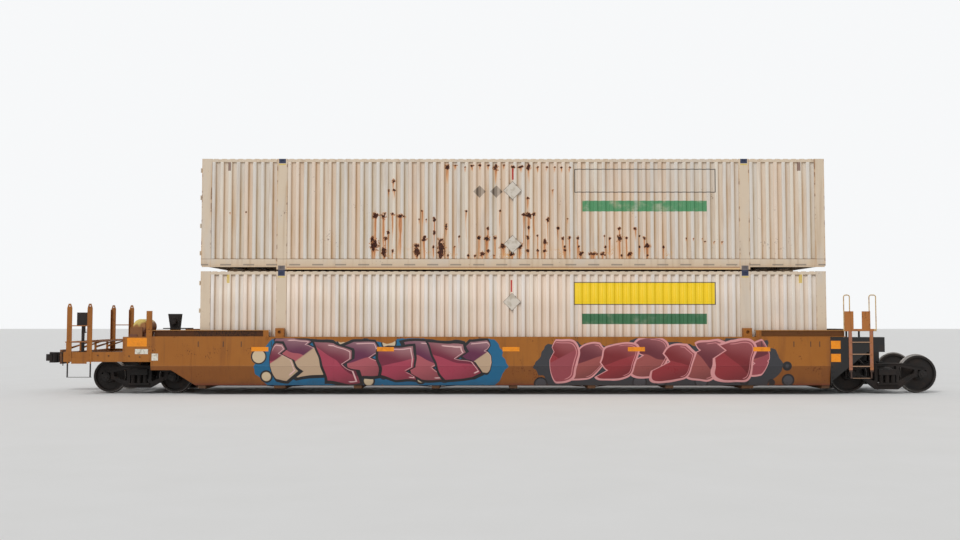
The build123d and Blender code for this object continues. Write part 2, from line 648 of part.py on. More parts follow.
# Joint end: dark side arms with sloped gussets, joined by a cross beam, a deck and a centre sill
def joint_frame():
    beam_x0 = ARM_X1 - CROSS_BEAM_LONG
    arm = [(SIDE_X1, SILL_BOTTOM + 25), (SIDE_X1, ARM_TOP), (ARM_X1, ARM_TOP), (ARM_X1, ARM_BOTTOM),
           (ARM_X1 - 440, ARM_BOTTOM), (WELL_END + 2, SILL_BOTTOM + 125)]
    pieces = []
    for y0, y1 in both_sides(WEB_IN, SILL_OUT):
        pieces.append(prism_y(arm, y0, y1))
    for y0, y1 in both_sides(WELL_HALF, WEB_IN):
        pieces.append(block(SIDE_X1, ARM_X1, y0, y1, ARM_BOTTOM, ARM_BOTTOM + WEB))
        pieces.append(block(SIDE_X1, ARM_X1, y0, y1, ARM_TOP - WEB, ARM_TOP))
        pieces.append(block(ARM_X1 - WEB, ARM_X1, y0, y1, ARM_BOTTOM, ARM_TOP))
    bearing_x0 = beam_x0 + 200
    for y0, y1 in both_sides(SIDE_BEARING_Y - 75, SIDE_BEARING_Y + 75):
        pieces.append(block(bearing_x0, TRUCK_X - 50, y0, y1, SIDE_BEARING_Z, ARM_BOTTOM + 40))
        pieces.append(block(bearing_x0, ARM_X1, y0, y1, ARM_BOTTOM, JOINT_DECK_Z + 100))
    cross = block(beam_x0, ARM_X1, -WEB_IN, WEB_IN, JOINT_DECK_Z, CROSS_BEAM_TOP)
    deck = block(WELL_END, beam_x0, -WEB_IN, WEB_IN, JOINT_DECK_Z, JOINT_DECK_Z + PLATE)
    wall = prism_x(well_end_section(JOINT_DECK_Z + PLATE), WELL_END, WELL_END + WEB)
    sill = block(WELL_END, ARM_X1, -STUB_HALF, STUB_HALF, JOINT_SILL_BOTTOM, JOINT_DECK_Z)
    return fuse(*pieces, cross, deck, wall, sill)


# Articulated connector: female casting with a ring on the truck's bowl and two cheeks round a cross pin
def articulated_connector():
    x = TRUCK_X
    cheek_in = CHEEK_OUT - CHEEK_THICK
    root = block(ARM_X1, ARM_X1 + 60, -CHEEK_OUT, CHEEK_OUT, JOINT_SILL_BOTTOM + 10, PIN_Z + 180)
    ring = rod((x, 0, CENTRE_PLATE_Z), (x, 0, CENTRE_PLATE_Z + 60), 203)
    neck = block(ARM_X1 + 30, x, -CHEEK_OUT, CHEEK_OUT, CENTRE_PLATE_Z + 122, PIN_Z - 50)
    inner = CHEEK_OUT - 20
    throat = block(ARM_X1 + 60, x, -inner, inner, CENTRE_PLATE_Z + 30, CENTRE_PLATE_Z + 130)
    outline = [(ARM_X1 + 40, PIN_Z + 180), (ARM_X1 + 40, PIN_Z - 120), (x, CENTRE_PLATE_Z + 40),
               (x + 110, CENTRE_PLATE_Z + 50), (x + 115, PIN_Z), (x + 60, PIN_Z + 105), (x, PIN_Z + 120)]
    cheeks = [prism_y(outline, y0, y1) for y0, y1 in both_sides(cheek_in, CHEEK_OUT)]
    bore = rod((x, -CHEEK_OUT - 5, PIN_Z), (x, CHEEK_OUT + 5, PIN_Z), PIN_BORE_R)
    mouth = block(x - 120, x + 210, -cheek_in, cheek_in, CENTRE_PLATE_Z + 60, PIN_Z + 220)
    return fuse(root, ring, neck, throat, *cheeks) - bore - mouth


def joint_platform():
    x1 = ARM_X1 - 220
    x0 = x1 - JOINT_PLATFORM_LONG
    half = SILL_OUT - 100
    low = JOINT_PLATFORM_Z - GRATING_DEEP
    posts = []
    for y in (-half + 60, half - 60):
        for x in (x0 + 20, x1 - 30):
            posts.append(block(x - 20, x + 20, y - 20, y + 20, ARM_TOP, low))
    for y in (-450, 450):
        posts.append(block(x1 - 50, x1 - 10, y - 20, y + 20, CROSS_BEAM_TOP, low))
    return fuse(grating(x0, x1, half, JOINT_PLATFORM_Z, 8), *posts)


# Ladder at the joint end, near side: two stiles, three rungs, a step, two tall plates and two hoops
JOINT_STILES = ((-320, -235), (215, 300))
JOINT_PLATES = ((-425, -190), (25, 240))
JOINT_HOOPS = ((-440, -290), (210, 380))
JOINT_RUNGS_Z = (1319, 1014, 705)
JOINT_STEP_Z = 410
JOINT_STILE_Z = (560, 1660)
JOINT_PLATE_Z = (1640, 2110)
HOOP_TOP = 2525
HOOP_BEND = 55


def joint_ladder():
    y0, y1 = -SILL_OUT - STILE_THICK, -SILL_OUT
    at = JOINT_LADDER_X
    foot, top = JOINT_STILE_Z
    pieces = [block(at + x0, at + x1, y0, y1, foot, top) for x0, x1 in JOINT_STILES]
    left = at + JOINT_STILES[0][1]
    right = at + JOINT_STILES[1][0]
    rung_y = y1 - RUNG_R - 1
    for z in JOINT_RUNGS_Z:
        pieces.append(bar((left - 40, rung_y, z), (right + 40, rung_y, z), RUNG_R))
    for x in (left - 50, right + 15):
        pieces.append(block(x, x + 35, y0, y1, JOINT_STEP_Z, foot))
    pieces.append(block(left - 50, right + 50, y0, y1 + 30, JOINT_STEP_Z - 12, JOINT_STEP_Z))
    for x0, x1 in JOINT_PLATES:
        pieces.append(block(at + x0, at + x1, y0, y1, *JOINT_PLATE_Z))
    hoop_foot = top - 60
    pieces.append(block(at + JOINT_PLATES[0][0], at + JOINT_STILES[1][1], y0, y1, hoop_foot, top))
    hoop_y = y0 - HOOP_R + 4
    inner_foot = JOINT_PLATE_Z[1] - 30
    for (x0, x1), feet in zip(JOINT_HOOPS, ((hoop_foot + 20, inner_foot), (inner_foot, hoop_foot + 20))):
        points = [(at + x0, hoop_y, feet[0]), (at + x0, hoop_y, HOOP_TOP), (at + x1, hoop_y, HOOP_TOP),
                  (at + x1, hoop_y, feet[1])]
        pieces.append(bent_bar(points, HOOP_BEND, HOOP_R))
    pieces.append(block(at + JOINT_HOOPS[0][0] - 15, at + JOINT_HOOPS[0][1], y0, y1, hoop_foot, top))
    pieces.append(block(at + JOINT_STILES[1][1] - 20, at + JOINT_HOOPS[1][1] + 15, y0, y1, hoop_foot, top))
    return fuse(*pieces)


# Wheelset: two flanged wheels on an axle with a roller bearing at each end
def wheel(radius):
    back = BACK_TO_BACK / 2
    face = back + RIM_WIDTH
    profile = [
        (back - 20, AXLE_R),
        (back - 20, HUB_R),
        (back + 40, HUB_R + 35),
        (back + 50, radius - 72),
        (back, radius - 62),
        (back, radius + FLANGE - 3),
        (back + 14, radius + FLANGE),
        (back + 38, radius + 3),
        (face, radius - 3),
        (face, radius - 60),
        (back + 85, radius - 72),
        (back + 80, HUB_R + 35),
        (face + 5, HUB_R),
        (face + 5, AXLE_R),
    ]
    outline = Face(Wire.make_polygon([Vector(0, y, r) for y, r in profile]))
    return revolve(outline, Axis((0, 0, 0), (0, 1, 0)))


def wheelset(radius, x):
    bearing_half = 105
    end = JOURNAL_Y - bearing_half + 45
    pieces = [rod((0, -end, 0), (0, end, 0), AXLE_R)]
    for side in (-1, 1):
        disc = wheel(radius)
        pieces.append(disc if side > 0 else far(disc))
        inner = side * (JOURNAL_Y - bearing_half)
        outer = side * (JOURNAL_Y + bearing_half)
        pieces.append(rod((0, inner, 0), (0, outer, 0), BEARING_R))
        pieces.append(bar((0, outer, 0), (0, outer + side * 22, 0), 70, 24))
    return Pos(x, 0, radius) * fuse(*pieces)


# Trucks: a table of what differs between the end truck and the larger joint truck
TRUCKS = {
    # name: (centre x, wheel radius, half wheelbase, sideframe bottom, sideframe top, bowl radius)
    "end_truck": (-TRUCK_X, 419, 863.5, 130, 700, 184),
    "joint_truck": (TRUCK_X, 483, 914.5, 90, 765, 209),
}
FRAME_THICK = 130
FRAME_RIM = 26
FRAME_RIM_PROUD = 18
WINDOW_HALF = 240
SPRING_SEAT_Z = 250
SPRING_TOP_Z = 462
SPRING_PITCH = 155
SPRING_Y = 62
SPRING_R = 60
BOLSTER_HALF = 225
BOLSTER_END_TOP = 610
SADDLE_SIDE_GAP = 8


# Cast sideframe: a truss with a spring window, two lightening holes and a flange along both its edges
def sideframe(truck):
    centre, radius, half, low, high, bowl = TRUCKS[truck]
    saddle = radius + BEARING_R + RUNNING_GAP
    y0 = JOURNAL_Y - FRAME_THICK / 2
    y1 = JOURNAL_Y + FRAME_THICK / 2
    jaw = BEARING_R + SADDLE_SIDE_GAP
    jaw_foot = radius - 70
    bottom_edge = [(280, low), (half - 230, radius - 90)]
    top_edge = [(half + 60, saddle + 85), (430, high)]
    right = bottom_edge + [
        (half - jaw - 55, jaw_foot),
        (half - jaw, jaw_foot),
        (half - jaw, saddle),
        (half + jaw, saddle),
        (half + jaw, jaw_foot),
        (half + jaw + 50, jaw_foot),
        (half + jaw + 55, saddle + 40),
    ] + top_edge
    left = [(-x, z) for x, z in reversed(right)]
    window = block(-WINDOW_HALF, WINDOW_HALF, y0 - 1, y1 + 1, SPRING_SEAT_Z, high - 75)
    seat = block(-WINDOW_HALF - 30, WINDOW_HALF + 30, y0 - 60, y1 + 60, SPRING_SEAT_Z - 35, SPRING_SEAT_Z)
    flanges = []
    for edge, inward in ((bottom_edge, FRAME_RIM), (top_edge, -FRAME_RIM)):
        line = sorted([(-x, z) for x, z in edge] + edge)
        band = line + [(x, z + inward) for x, z in reversed(line)]
        flanges.append(prism_y(band, y0 - FRAME_RIM_PROUD, y1 + FRAME_RIM_PROUD))
    body = fuse(prism_y(right + left, y0, y1) - window, seat, *flanges)
    for side in (-1, 1):
        hole = [(side * (WINDOW_HALF + 75), SPRING_SEAT_Z + 45), (side * (half - 215), radius + 5),
                (side * (half - 190), saddle + 10), (side * (WINDOW_HALF + 75), high - 85)]
        pocket = prism_y(hole, y0 - 1, y1 + 1)
        body = body - fillet(pocket.edges().filter_by(Axis.Y), 28)
    return Pos(centre, 0, 0) * body


def truck_springs(truck):
    centre = TRUCKS[truck][0]
    coils = []
    for x in (-SPRING_PITCH, 0, SPRING_PITCH):
        for y in (JOURNAL_Y - SPRING_Y, JOURNAL_Y + SPRING_Y):
            coil = bar((centre + x, y, SPRING_SEAT_Z), (centre + x, y, SPRING_TOP_Z), SPRING_R, 12)
            coils += [coil, far(coil)]
    return coils


def truck_bolster(truck):
    centre, radius, half, low, high, bowl = TRUCKS[truck]
    top = CENTRE_PLATE_Z - 28
    end = JOURNAL_Y + FRAME_THICK / 2 + 60
    right = [(500, 400), (780, SPRING_TOP_Z), (end, SPRING_TOP_Z), (end, BOLSTER_END_TOP),
             (820, BOLSTER_END_TOP), (760, top)]
    beam = prism_x(right + [(-y, z) for y, z in reversed(right)], -BOLSTER_HALF, BOLSTER_HALF)
    rim = rod((0, 0, top), (0, 0, CENTRE_PLATE_Z + 22), bowl + 26)
    hollow = rod((0, 0, CENTRE_PLATE_Z - RUNNING_GAP), (0, 0, CENTRE_PLATE_Z + 30), bowl)
    cage_top = CENTRE_PLATE_Z + SIDE_BEARING_HIGH - 32
    pads = []
    for y in (-SIDE_BEARING_Y, SIDE_BEARING_Y):
        pads.append(block(-100, 100, y - 65, y + 65, top, cage_top))
        pads.append(block(-75, 75, y - 45, y + 45, cage_top, CENTRE_PLATE_Z + SIDE_BEARING_HIGH))
    return Pos(centre, 0, 0) * (fuse(beam, rim, *pads) - hollow)


# Brake beams: a bar between the sideframes with a tie behind it and a shoe at each wheel
def brake_beams(truck):
    centre, radius, half, low, high, bowl = TRUCKS[truck]
    guide_y = JOURNAL_Y - FRAME_THICK / 2
    tread_y = BACK_TO_BACK / 2 + 87
    beams = []
    for side in (-1, 1):
        near_x = side * (half - radius - 12)
        bar_x = sorted((near_x - side * 90, near_x - side * 40))
        beam = block(*bar_x, -guide_y, guide_y, SPRING_SEAT_Z - 5, SPRING_SEAT_Z + 40)
        tie_x = near_x - side * 60
        apex_x = near_x - side * 128
        outline = [(tie_x, -780), (tie_x, -740), (apex_x, -30), (apex_x, 30), (tie_x, 740), (tie_x, 780)]
        tie = prism_z(outline, SPRING_SEAT_Z + 5, SPRING_SEAT_Z + 30)
        shoes = []
        for y in (-tread_y, tread_y):
            pad = block(near_x - 60, near_x + 60, y - 40, y + 40, SPRING_SEAT_Z - 10, radius + 150)
            tread = rod((side * half, y - 50, radius), (side * half, y + 50, radius), radius + 10)
            shoes.append(pad - tread)
        beams.append(Pos(centre, 0, 0) * fuse(beam, tie, *shoes))
    return beams


# Corrugated sheet between x0 and x1 as an outline: ribs to the outside, flat inside
def corrugated(x0, x1, outer, pitch, deep, thick):
    count = round((x1 - x0) / pitch)
    step = (x1 - x0) / count
    points = []
    for i in range(count):
        start = x0 + i * step
        for share, depth in ((0.08, 0), (0.42, 0), (0.58, deep), (0.92, deep)):
            points.append((start + share * step, outer - depth))
    points += [(x1, outer - deep / 2), (x1, outer - thick), (x0, outer - thick), (x0, outer - deep / 2)]
    return points


# Hinge lugs on the corner post, above and below each door knuckle, with the pin through them
DOOR_Z0 = BOX_FLOOR_Z + DOOR_EDGE_GAP
DOOR_Z1 = TOP_FACE - DOOR_HEADER - DOOR_EDGE_GAP
HINGE_LEVELS = [DOOR_Z0 + share * (DOOR_Z1 - DOOR_Z0) for share in (0.06, 0.35, 0.65, 0.94)]
HINGE_X = -HALF_L - DOOR_PIN_OUT
HINGE_Y = HALF_W + DOOR_PIN_SIDE
LUG_GAP = 1


def hinge_lugs():
    lugs = []
    for z in HINGE_LEVELS:
        near, reach = KNUCKLE_HALF + LUG_GAP, KNUCKLE_HALF + LUG_GAP + LUG_THICK
        for z0 in (z - reach, z + near):
            lugs.append(bar((HINGE_X, HINGE_Y, z0), (HINGE_X, HINGE_Y, z0 + LUG_THICK), HINGE_R))
            lugs.append(block(HINGE_X, -HALF_L + 5, HINGE_Y - HINGE_R, HALF_W, z0, z0 + LUG_THICK))
        lugs.append(rod((HINGE_X, HINGE_Y, z - reach), (HINGE_X, HINGE_Y, z + reach), HINGE_PIN_R))
    return lugs


# Frame: corner and 40-ft posts, fittings with their side holes, top and bottom rails, end sills and headers
def box_frame():
    post_in = HALF_W - POST_DEPTH
    pieces = hinge_lugs()
    for x0, x1, base in ((-HALF_L, -HALF_L + END_POST, END_RAIL_BASE),
                         (-FITTING_X - MID_POST / 2, -FITTING_X + MID_POST / 2, RAIL_BASE),
                         (FITTING_X - MID_POST / 2, FITTING_X + MID_POST / 2, RAIL_BASE),
                         (HALF_L - END_POST, HALF_L, END_RAIL_BASE)):
        pieces.append(block(x0, x1, post_in, HALF_W, base, BOX_HEIGHT))
    fitting_in = HALF_W - FITTING_DEEP
    holes = []
    for x in (-FITTING_X, FITTING_X):
        x0, x1 = x - FITTING_LONG / 2, x + FITTING_LONG / 2
        for z0 in (0, BOX_HEIGHT - FITTING_HIGH):
            pieces.append(block(x0, x1, fitting_in, HALF_W, z0, z0 + FITTING_HIGH))
            holes.append(block(x - 40, x + 40, HALF_W - 15, HALF_W + 1, z0 + 29, z0 + FITTING_HIGH - 29))
    pieces.append(block(-HALF_L, HALF_L, post_in, HALF_W, TOP_FACE - TOP_RAIL, TOP_FACE))
    pieces.append(block(-HALF_L, HALF_L, post_in, HALF_W, END_RAIL_BASE, RAIL_TOP))
    pieces.append(block(-FITTING_X, FITTING_X, post_in, HALF_W, RAIL_BASE, END_RAIL_BASE))
    ends = ((-HALF_L, -HALF_L + END_BEAM), (HALF_L - END_BEAM, HALF_L))
    for x0, x1 in ends:
        pieces.append(block(x0, x1, HALF_W - DOOR_POST, HALF_W, END_RAIL_BASE, BOX_HEIGHT))
    side = fuse(*pieces)
    for hole in holes:
        side = side - hole
    beams = []
    for x0, x1 in ends:
        beams.append(block(x0, x1, -post_in - 5, post_in + 5, END_RAIL_BASE, BOX_FLOOR_Z))
        beams.append(block(x0, x1, -post_in - 5, post_in + 5, TOP_FACE - DOOR_HEADER, TOP_FACE))
    return fuse(side, far(side), *beams)


def box_side():
    post = MID_POST / 2
    panels = []
    for x0, x1 in ((-HALF_L + END_POST, -FITTING_X - post), (-FITTING_X + post, FITTING_X - post),
                   (FITTING_X + post, HALF_L - END_POST)):
        outline = corrugated(x0, x1, HALF_W, CORRUGATION, CORRUGATION_DEEP, WALL)
        panels.append(prism_z(outline, RAIL_TOP, TOP_FACE - TOP_RAIL))
    return panels


def box_roof():
    inner = HALF_W - POST_DEPTH
    half_x = HALF_L - END_BEAM
    crest = TOP_FACE + ROOF_RISE
    sheet = prism_y(corrugated(-half_x, half_x, crest, ROOF_RIB, ROOF_RIB_DEEP, ROOF), -inner, inner)
    for x in (-FITTING_X, FITTING_X):
        for y0, y1 in both_sides(HALF_W - FITTING_DEEP, HALF_W):
            half = FITTING_LONG / 2
            sheet = sheet - block(x - half, x + half, y0, y1, TOP_FACE - 2 * ROOF, crest + 1)
    return sheet


def box_floor():
    inner = HALF_W - POST_DEPTH
    half_x = HALF_L - END_BEAM
    planks = block(-half_x, half_x, -inner, inner, BOX_FLOOR_Z - FLOOR, BOX_FLOOR_Z)
    beams = []
    pitch = (BOX_LENGTH - 1000) / (FLOOR_BEAMS - 1)
    for i in range(FLOOR_BEAMS):
        x = -HALF_L + 500 + i * pitch
        beams.append(block(x - 22, x + 22, -inner, inner, END_RAIL_BASE + 15, BOX_FLOOR_Z - FLOOR))
    return fuse(planks, *beams)


def box_front():
    half = HALF_W - DOOR_POST
    outline = corrugated(-half, half, HALF_L - 10, CORRUGATION, CORRUGATION_DEEP, WALL)
    return prism_z([(x, y) for y, x in outline], BOX_FLOOR_Z, TOP_FACE - DOOR_HEADER)


# Door leaf with two lock rods in brackets, their handles, and four hinge straps with bored knuckles
def box_door():
    face_x = -HALF_L + DOOR_RECESS
    y0, y1 = DOOR_GAP / 2, HALF_W - DOOR_POST - DOOR_EDGE_GAP
    z0, z1 = DOOR_Z0, DOOR_Z1
    rod_x = face_x - LOCK_ROD_STAND
    handle_z = z0 + 900
    pieces = [block(face_x, face_x + DOOR_THICK, y0, y1, z0, z1)]
    for share, handle in ((0.3, 380), (0.78, -380)):
        y = y0 + share * (y1 - y0)
        pieces.append(bar((rod_x, y, z0 + 20), (rod_x, y, z1 - 20), LOCK_ROD_R))
        for level in (0.08, 0.36, 0.64, 0.92):
            z = z0 + level * (z1 - z0)
            pieces.append(block(rod_x - 14, face_x, y - 45, y + 45, z - 30, z + 30))
        pieces.append(block(rod_x - 12, rod_x, y, y + handle, handle_z, handle_z + 30))
    bores = []
    strap_y = y1 - 120
    strap_x = -HALF_L - 16
    for z in HINGE_LEVELS:
        low, high = z - KNUCKLE_HALF, z + KNUCKLE_HALF
        pieces.append(block(strap_x, face_x, strap_y, y1 - 15, low, high))
        pieces.append(block(strap_x, strap_x + 10, strap_y, HINGE_Y, low, high))
        pieces.append(bar((HINGE_X, HINGE_Y, low), (HINGE_X, HINGE_Y, high), HINGE_R))
        bore_r = HINGE_PIN_R + RUNNING_GAP
        bores.append(rod((HINGE_X, HINGE_Y, low - 1), (HINGE_X, HINGE_Y, high + 1), bore_r))
    return fuse(*pieces) - Compound(bores)


# Twist-lock cones between the boxes, on the top fittings of the lower one
def stack_cones(top):
    cones = []
    for x in (-FITTING_X, FITTING_X):
        for y in (-HALF_W + FITTING_DEEP / 2, HALF_W - FITTING_DEEP / 2):
            cones.append(block(x - 85, x + 85, y - 78, y + 78, top, top + STACK_GAP))
    return cones


def build():
    nodes = {}
    nodes["side_sill_far"] = side_sill()
    nodes["side_sill_near"] = far(nodes["side_sill_far"])
    coupler_lug = -FITTING_X - 337.5
    joint_lug = FITTING_X + 267.5
    channels = {"coupler": raised_channel(SIDE_X0 + 30, coupler_lug, coupler_lug),
                "joint": raised_channel(joint_lug, JOINT_LADDER_X - 370, joint_lug)}
    for name, channel in channels.items():
        nodes[f"channel_{name}_far"] = channel
        nodes[f"channel_{name}_near"] = far(channel)
    nodes["well_floor"] = well_floor()
    nodes["coupler_end_deck"] = coupler_end_deck()
    nodes["body_bolster"] = body_bolster()
    nodes["stub_sill"] = stub_sill()
    nodes["end_sill"] = end_sill()
    nodes["coupler_platform"] = coupler_platform()
    nodes["coupler_ladder_far"] = coupler_ladder()
    nodes["coupler_ladder_near"] = far(nodes["coupler_ladder_far"])
    nodes["post_plate"] = post_plate()
    nodes["air_reservoir"] = air_reservoir()
    nodes["brake_valve"] = brake_valve()
    nodes["brake_cylinder"] = brake_cylinder()
    nodes["hand_brake"] = hand_brake()
    nodes["uncoupling_lever"] = uncoupling_lever()
    nodes["brake_pipe"] = brake_pipe()
    nodes["coupler_head"] = coupler_head()
    nodes["knuckle"] = knuckle()
    nodes["joint_frame"] = joint_frame()
    nodes["articulated_connector"] = articulated_connector()
    nodes["joint_platform"] = joint_platform()
    nodes["joint_ladder"] = joint_ladder()
    for truck, (centre, radius, half, low, high, bowl) in TRUCKS.items():
        frame = sideframe(truck)
        nodes[f"{truck}_sideframes"] = [frame, far(frame)]
        nodes[f"{truck}_springs"] = truck_springs(truck)
        nodes[f"{truck}_bolster"] = truck_bolster(truck)
        nodes[f"{truck}_brake_beams"] = brake_beams(truck)
        nodes[f"{truck}_wheelset_left"] = wheelset(radius, centre - half)
        nodes[f"{truck}_wheelset_right"] = wheelset(radius, centre + half)
    pieces = {
        "frame": [box_frame()],
        "side_far": box_side(),
        "side_near": [far(panel) for panel in box_side()],
        "roof": [box_roof()],
        "floor": [box_floor()],
        "front": [box_front()],
        "door_far": [box_door()],
        "door_near": [far(box_door())],
    }
    lower_top = WELL_FLOOR_Z + BOX_HEIGHT
    for tier, base in (("lower", WELL_FLOOR_Z), ("upper", lower_top + STACK_GAP)):
        for name, shapes in pieces.items():
            nodes[f"{tier}_{name}"] = [Pos(0, 0, base) * shape for shape in shapes]
    nodes["lower_frame"] = fuse(nodes["lower_frame"][0], *stack_cones(lower_top))
    return nodes


if __name__ == "__main__":
    os.makedirs(OUT, exist_ok=True)
    for name, shape in build().items():
        shapes = shape if isinstance(shape, list) else [shape]
        solids = [solid for each in shapes for solid in each.solids()]
        export_step(Compound(children=solids), os.path.join(OUT, f"{name}.step"))
        print(name, len(solids))
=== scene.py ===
import json
import math

import bmesh
import bpy
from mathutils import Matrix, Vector, noise


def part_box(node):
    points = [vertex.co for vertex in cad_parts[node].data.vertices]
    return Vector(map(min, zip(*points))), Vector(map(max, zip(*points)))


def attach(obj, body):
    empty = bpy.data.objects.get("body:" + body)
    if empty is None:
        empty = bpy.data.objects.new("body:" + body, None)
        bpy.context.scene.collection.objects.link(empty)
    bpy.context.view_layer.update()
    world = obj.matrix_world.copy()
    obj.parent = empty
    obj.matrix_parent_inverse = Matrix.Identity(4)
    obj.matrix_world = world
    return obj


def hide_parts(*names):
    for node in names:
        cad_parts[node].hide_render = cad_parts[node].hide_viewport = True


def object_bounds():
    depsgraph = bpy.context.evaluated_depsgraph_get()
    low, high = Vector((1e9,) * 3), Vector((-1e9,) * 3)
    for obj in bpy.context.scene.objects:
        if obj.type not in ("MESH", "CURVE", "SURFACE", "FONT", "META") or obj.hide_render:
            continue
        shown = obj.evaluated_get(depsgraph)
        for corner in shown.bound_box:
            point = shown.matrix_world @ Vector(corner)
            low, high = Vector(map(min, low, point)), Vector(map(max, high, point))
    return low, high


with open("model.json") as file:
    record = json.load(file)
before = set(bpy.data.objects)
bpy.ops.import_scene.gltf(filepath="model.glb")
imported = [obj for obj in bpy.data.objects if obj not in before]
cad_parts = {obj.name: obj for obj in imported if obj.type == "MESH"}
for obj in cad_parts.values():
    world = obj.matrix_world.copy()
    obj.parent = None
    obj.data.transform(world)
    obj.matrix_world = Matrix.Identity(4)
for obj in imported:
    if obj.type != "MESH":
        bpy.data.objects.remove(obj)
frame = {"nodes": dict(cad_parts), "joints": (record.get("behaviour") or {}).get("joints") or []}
nodes = frame["nodes"]
cad_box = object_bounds()


# The studio: a pale floor under the wheel flanges, an open sky all round and one soft lamp in front.
# The camera stands 26.6 m off the car's centreline, a little above the car's rim, and looks slightly up.
EYE = (-0.86, -26.6, 1.94)
LOOK_UP = math.radians(2.8)
LENS = 36.75

camera = bpy.data.objects.new("camera", bpy.data.cameras.new("camera"))
camera.location = EYE
camera.rotation_euler = (math.pi / 2 + LOOK_UP, 0, 0)
camera.data.lens = LENS
camera.data.sensor_width = 36.0
camera.data.clip_end = 500.0
bpy.context.scene.collection.objects.link(camera)
bpy.context.scene.camera = camera
bpy.context.scene.view_settings.view_transform = "Standard"


def colour(red, green, blue):
    """The linear colour of a paint that reads as these 0 to 255 values."""
    return tuple((c / 255) ** 2.2 for c in (red, green, blue)) + (1.0,)


def fill_in(tree, made, sockets):
    """Each named input of a node gets a plain value, or a link from another node's output."""
    for key, value in sockets.items():
        value = getattr(value, "socket", value)
        if isinstance(value, bpy.types.NodeSocket):
            tree.links.new(value, made.inputs[key])
        else:
            made.inputs[key].default_value = value


def add_node(tree, kind, settings=None, sockets=None, output=0):
    """A new node with its settings and inputs filled in; gives one of its outputs."""
    made = tree.nodes.new(kind)
    for name, value in (settings or {}).items():
        setattr(made, name, value)
    fill_in(tree, made, sockets or {})
    return made.outputs[output]


class Value:
    """One output of a material's node. Arithmetic adds Math nodes, | keeps the larger, & the smaller."""

    def __init__(self, finish, socket):
        self.finish = finish
        self.socket = socket

    def math(self, operation, first, second=None):
        sockets = {0: first} if second is None else {0: first, 1: second}
        return self.finish.node("ShaderNodeMath", {"operation": operation}, sockets)

    def __add__(self, other):
        return self.math("ADD", self, other)

    def __sub__(self, other):
        return self.math("SUBTRACT", self, other)

    def __rsub__(self, other):
        return self.math("SUBTRACT", other, self)

    def __mul__(self, other):
        return self.math("MULTIPLY", self, other)

    def __truediv__(self, other):
        return self.math("DIVIDE", self, other)

    def __or__(self, other):
        return self.math("MAXIMUM", self, other)

    def __and__(self, other):
        return self.math("MINIMUM", self, other)

    def __pow__(self, other):
        return self.math("POWER", self, other)

    def __abs__(self):
        return self.math("ABSOLUTE", self)

    def floor(self):
        return self.math("FLOOR", self)

    def fract(self):
        return self.math("FRACT", self)

    __radd__ = __add__
    __rmul__ = __mul__


class Finish:
    """A material in the making: its Principled shader, the place on the car in metres, and its maths."""

    def __init__(self, name):
        self.material = bpy.data.materials.new(name)
        self.material.use_nodes = True
        self.tree = self.material.node_tree
        self.shader = self.tree.nodes["Principled BSDF"]
        self.place = self.node("ShaderNodeTexCoord", output="Object")
        self.x, self.y, self.z = (self.node("ShaderNodeSeparateXYZ", sockets={0: self.place}, output=axis)
                                  for axis in "XYZ")

    def node(self, kind, settings=None, sockets=None, output=0):
        return Value(self, add_node(self.tree, kind, settings, sockets, output))

    def rise(self, value, low, high):
        """0 up to low, 1 from high on, smooth between; the other way round where low is the larger."""
        return self.node("ShaderNodeMapRange", {"interpolation_type": "SMOOTHSTEP"},
                         {"Value": value, "From Min": low, "From Max": high})

    def within(self, value, low, high, soft=0.004):
        return self.rise(value, low - soft, low + soft) * self.rise(value, high + soft, high - soft)

    def patch(self, x0, x1, z0, z1, soft=0.004):
        return self.within(self.x, x0, x1, soft) * self.within(self.z, z0, z1, soft)

    def stretched(self, stretch, shift=0.0):
        scaled = self.node("ShaderNodeVectorMath", {"operation": "MULTIPLY"}, {0: self.place, 1: stretch})
        return self.node("ShaderNodeVectorMath", {"operation": "ADD"}, {0: scaled, 1: (shift, shift, shift)})

    def noise(self, scale, detail=3.0, stretch=(1, 1, 1), shift=0.0, rough=0.55):
        sockets = {"Vector": self.stretched(stretch, shift), "Scale": scale}
        return self.node("ShaderNodeTexNoise", None, sockets | {"Detail": detail, "Roughness": rough})

    def over(self, under, top, mask):
        """top laid over under where mask is 1."""
        return self.node("ShaderNodeMix", {"data_type": "RGBA"}, {0: mask, 6: under, 7: top}, output=2)

    def painted(self, name):
        """A value that the mesh carries at its points."""
        return self.node("ShaderNodeAttribute", {"attribute_name": name}, output="Fac")

    def facing_up(self):
        normal = self.node("ShaderNodeNewGeometry", output="Normal")
        return self.node("ShaderNodeSeparateXYZ", sockets={0: normal}, output="Z")

    def finished(self, base, roughness, metallic=0.0, height=None, deep=0.003):
        links = {"Base Color": base, "Roughness": roughness, "Metallic": metallic}
        if height is not None:
            bump = {"Strength": 1.0, "Distance": deep, "Height": height}
            links["Normal"] = self.node("ShaderNodeBump", None, bump)
        fill_in(self.tree, self.shader, links)
        return self.material


def stand(name, mesh, body):
    """The mesh as an object of the scene, riding on a body where it belongs to the car."""
    made = bpy.data.objects.new(name, mesh)
    bpy.context.scene.collection.objects.link(made)
    if body:
        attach(made, body)
    return made


def mesh_piece(name, verts, faces, material, body):
    """A piece from points in metres, with its faces turned outwards."""
    mesh = bpy.data.meshes.new(name)
    mesh.from_pydata([tuple(v) for v in verts], [], faces)
    form = bmesh.new()
    form.from_mesh(mesh)
    bmesh.ops.recalc_face_normals(form, faces=form.faces)
    form.to_mesh(mesh)
    form.free()
    mesh.materials.append(material)
    return stand(name, mesh, body)


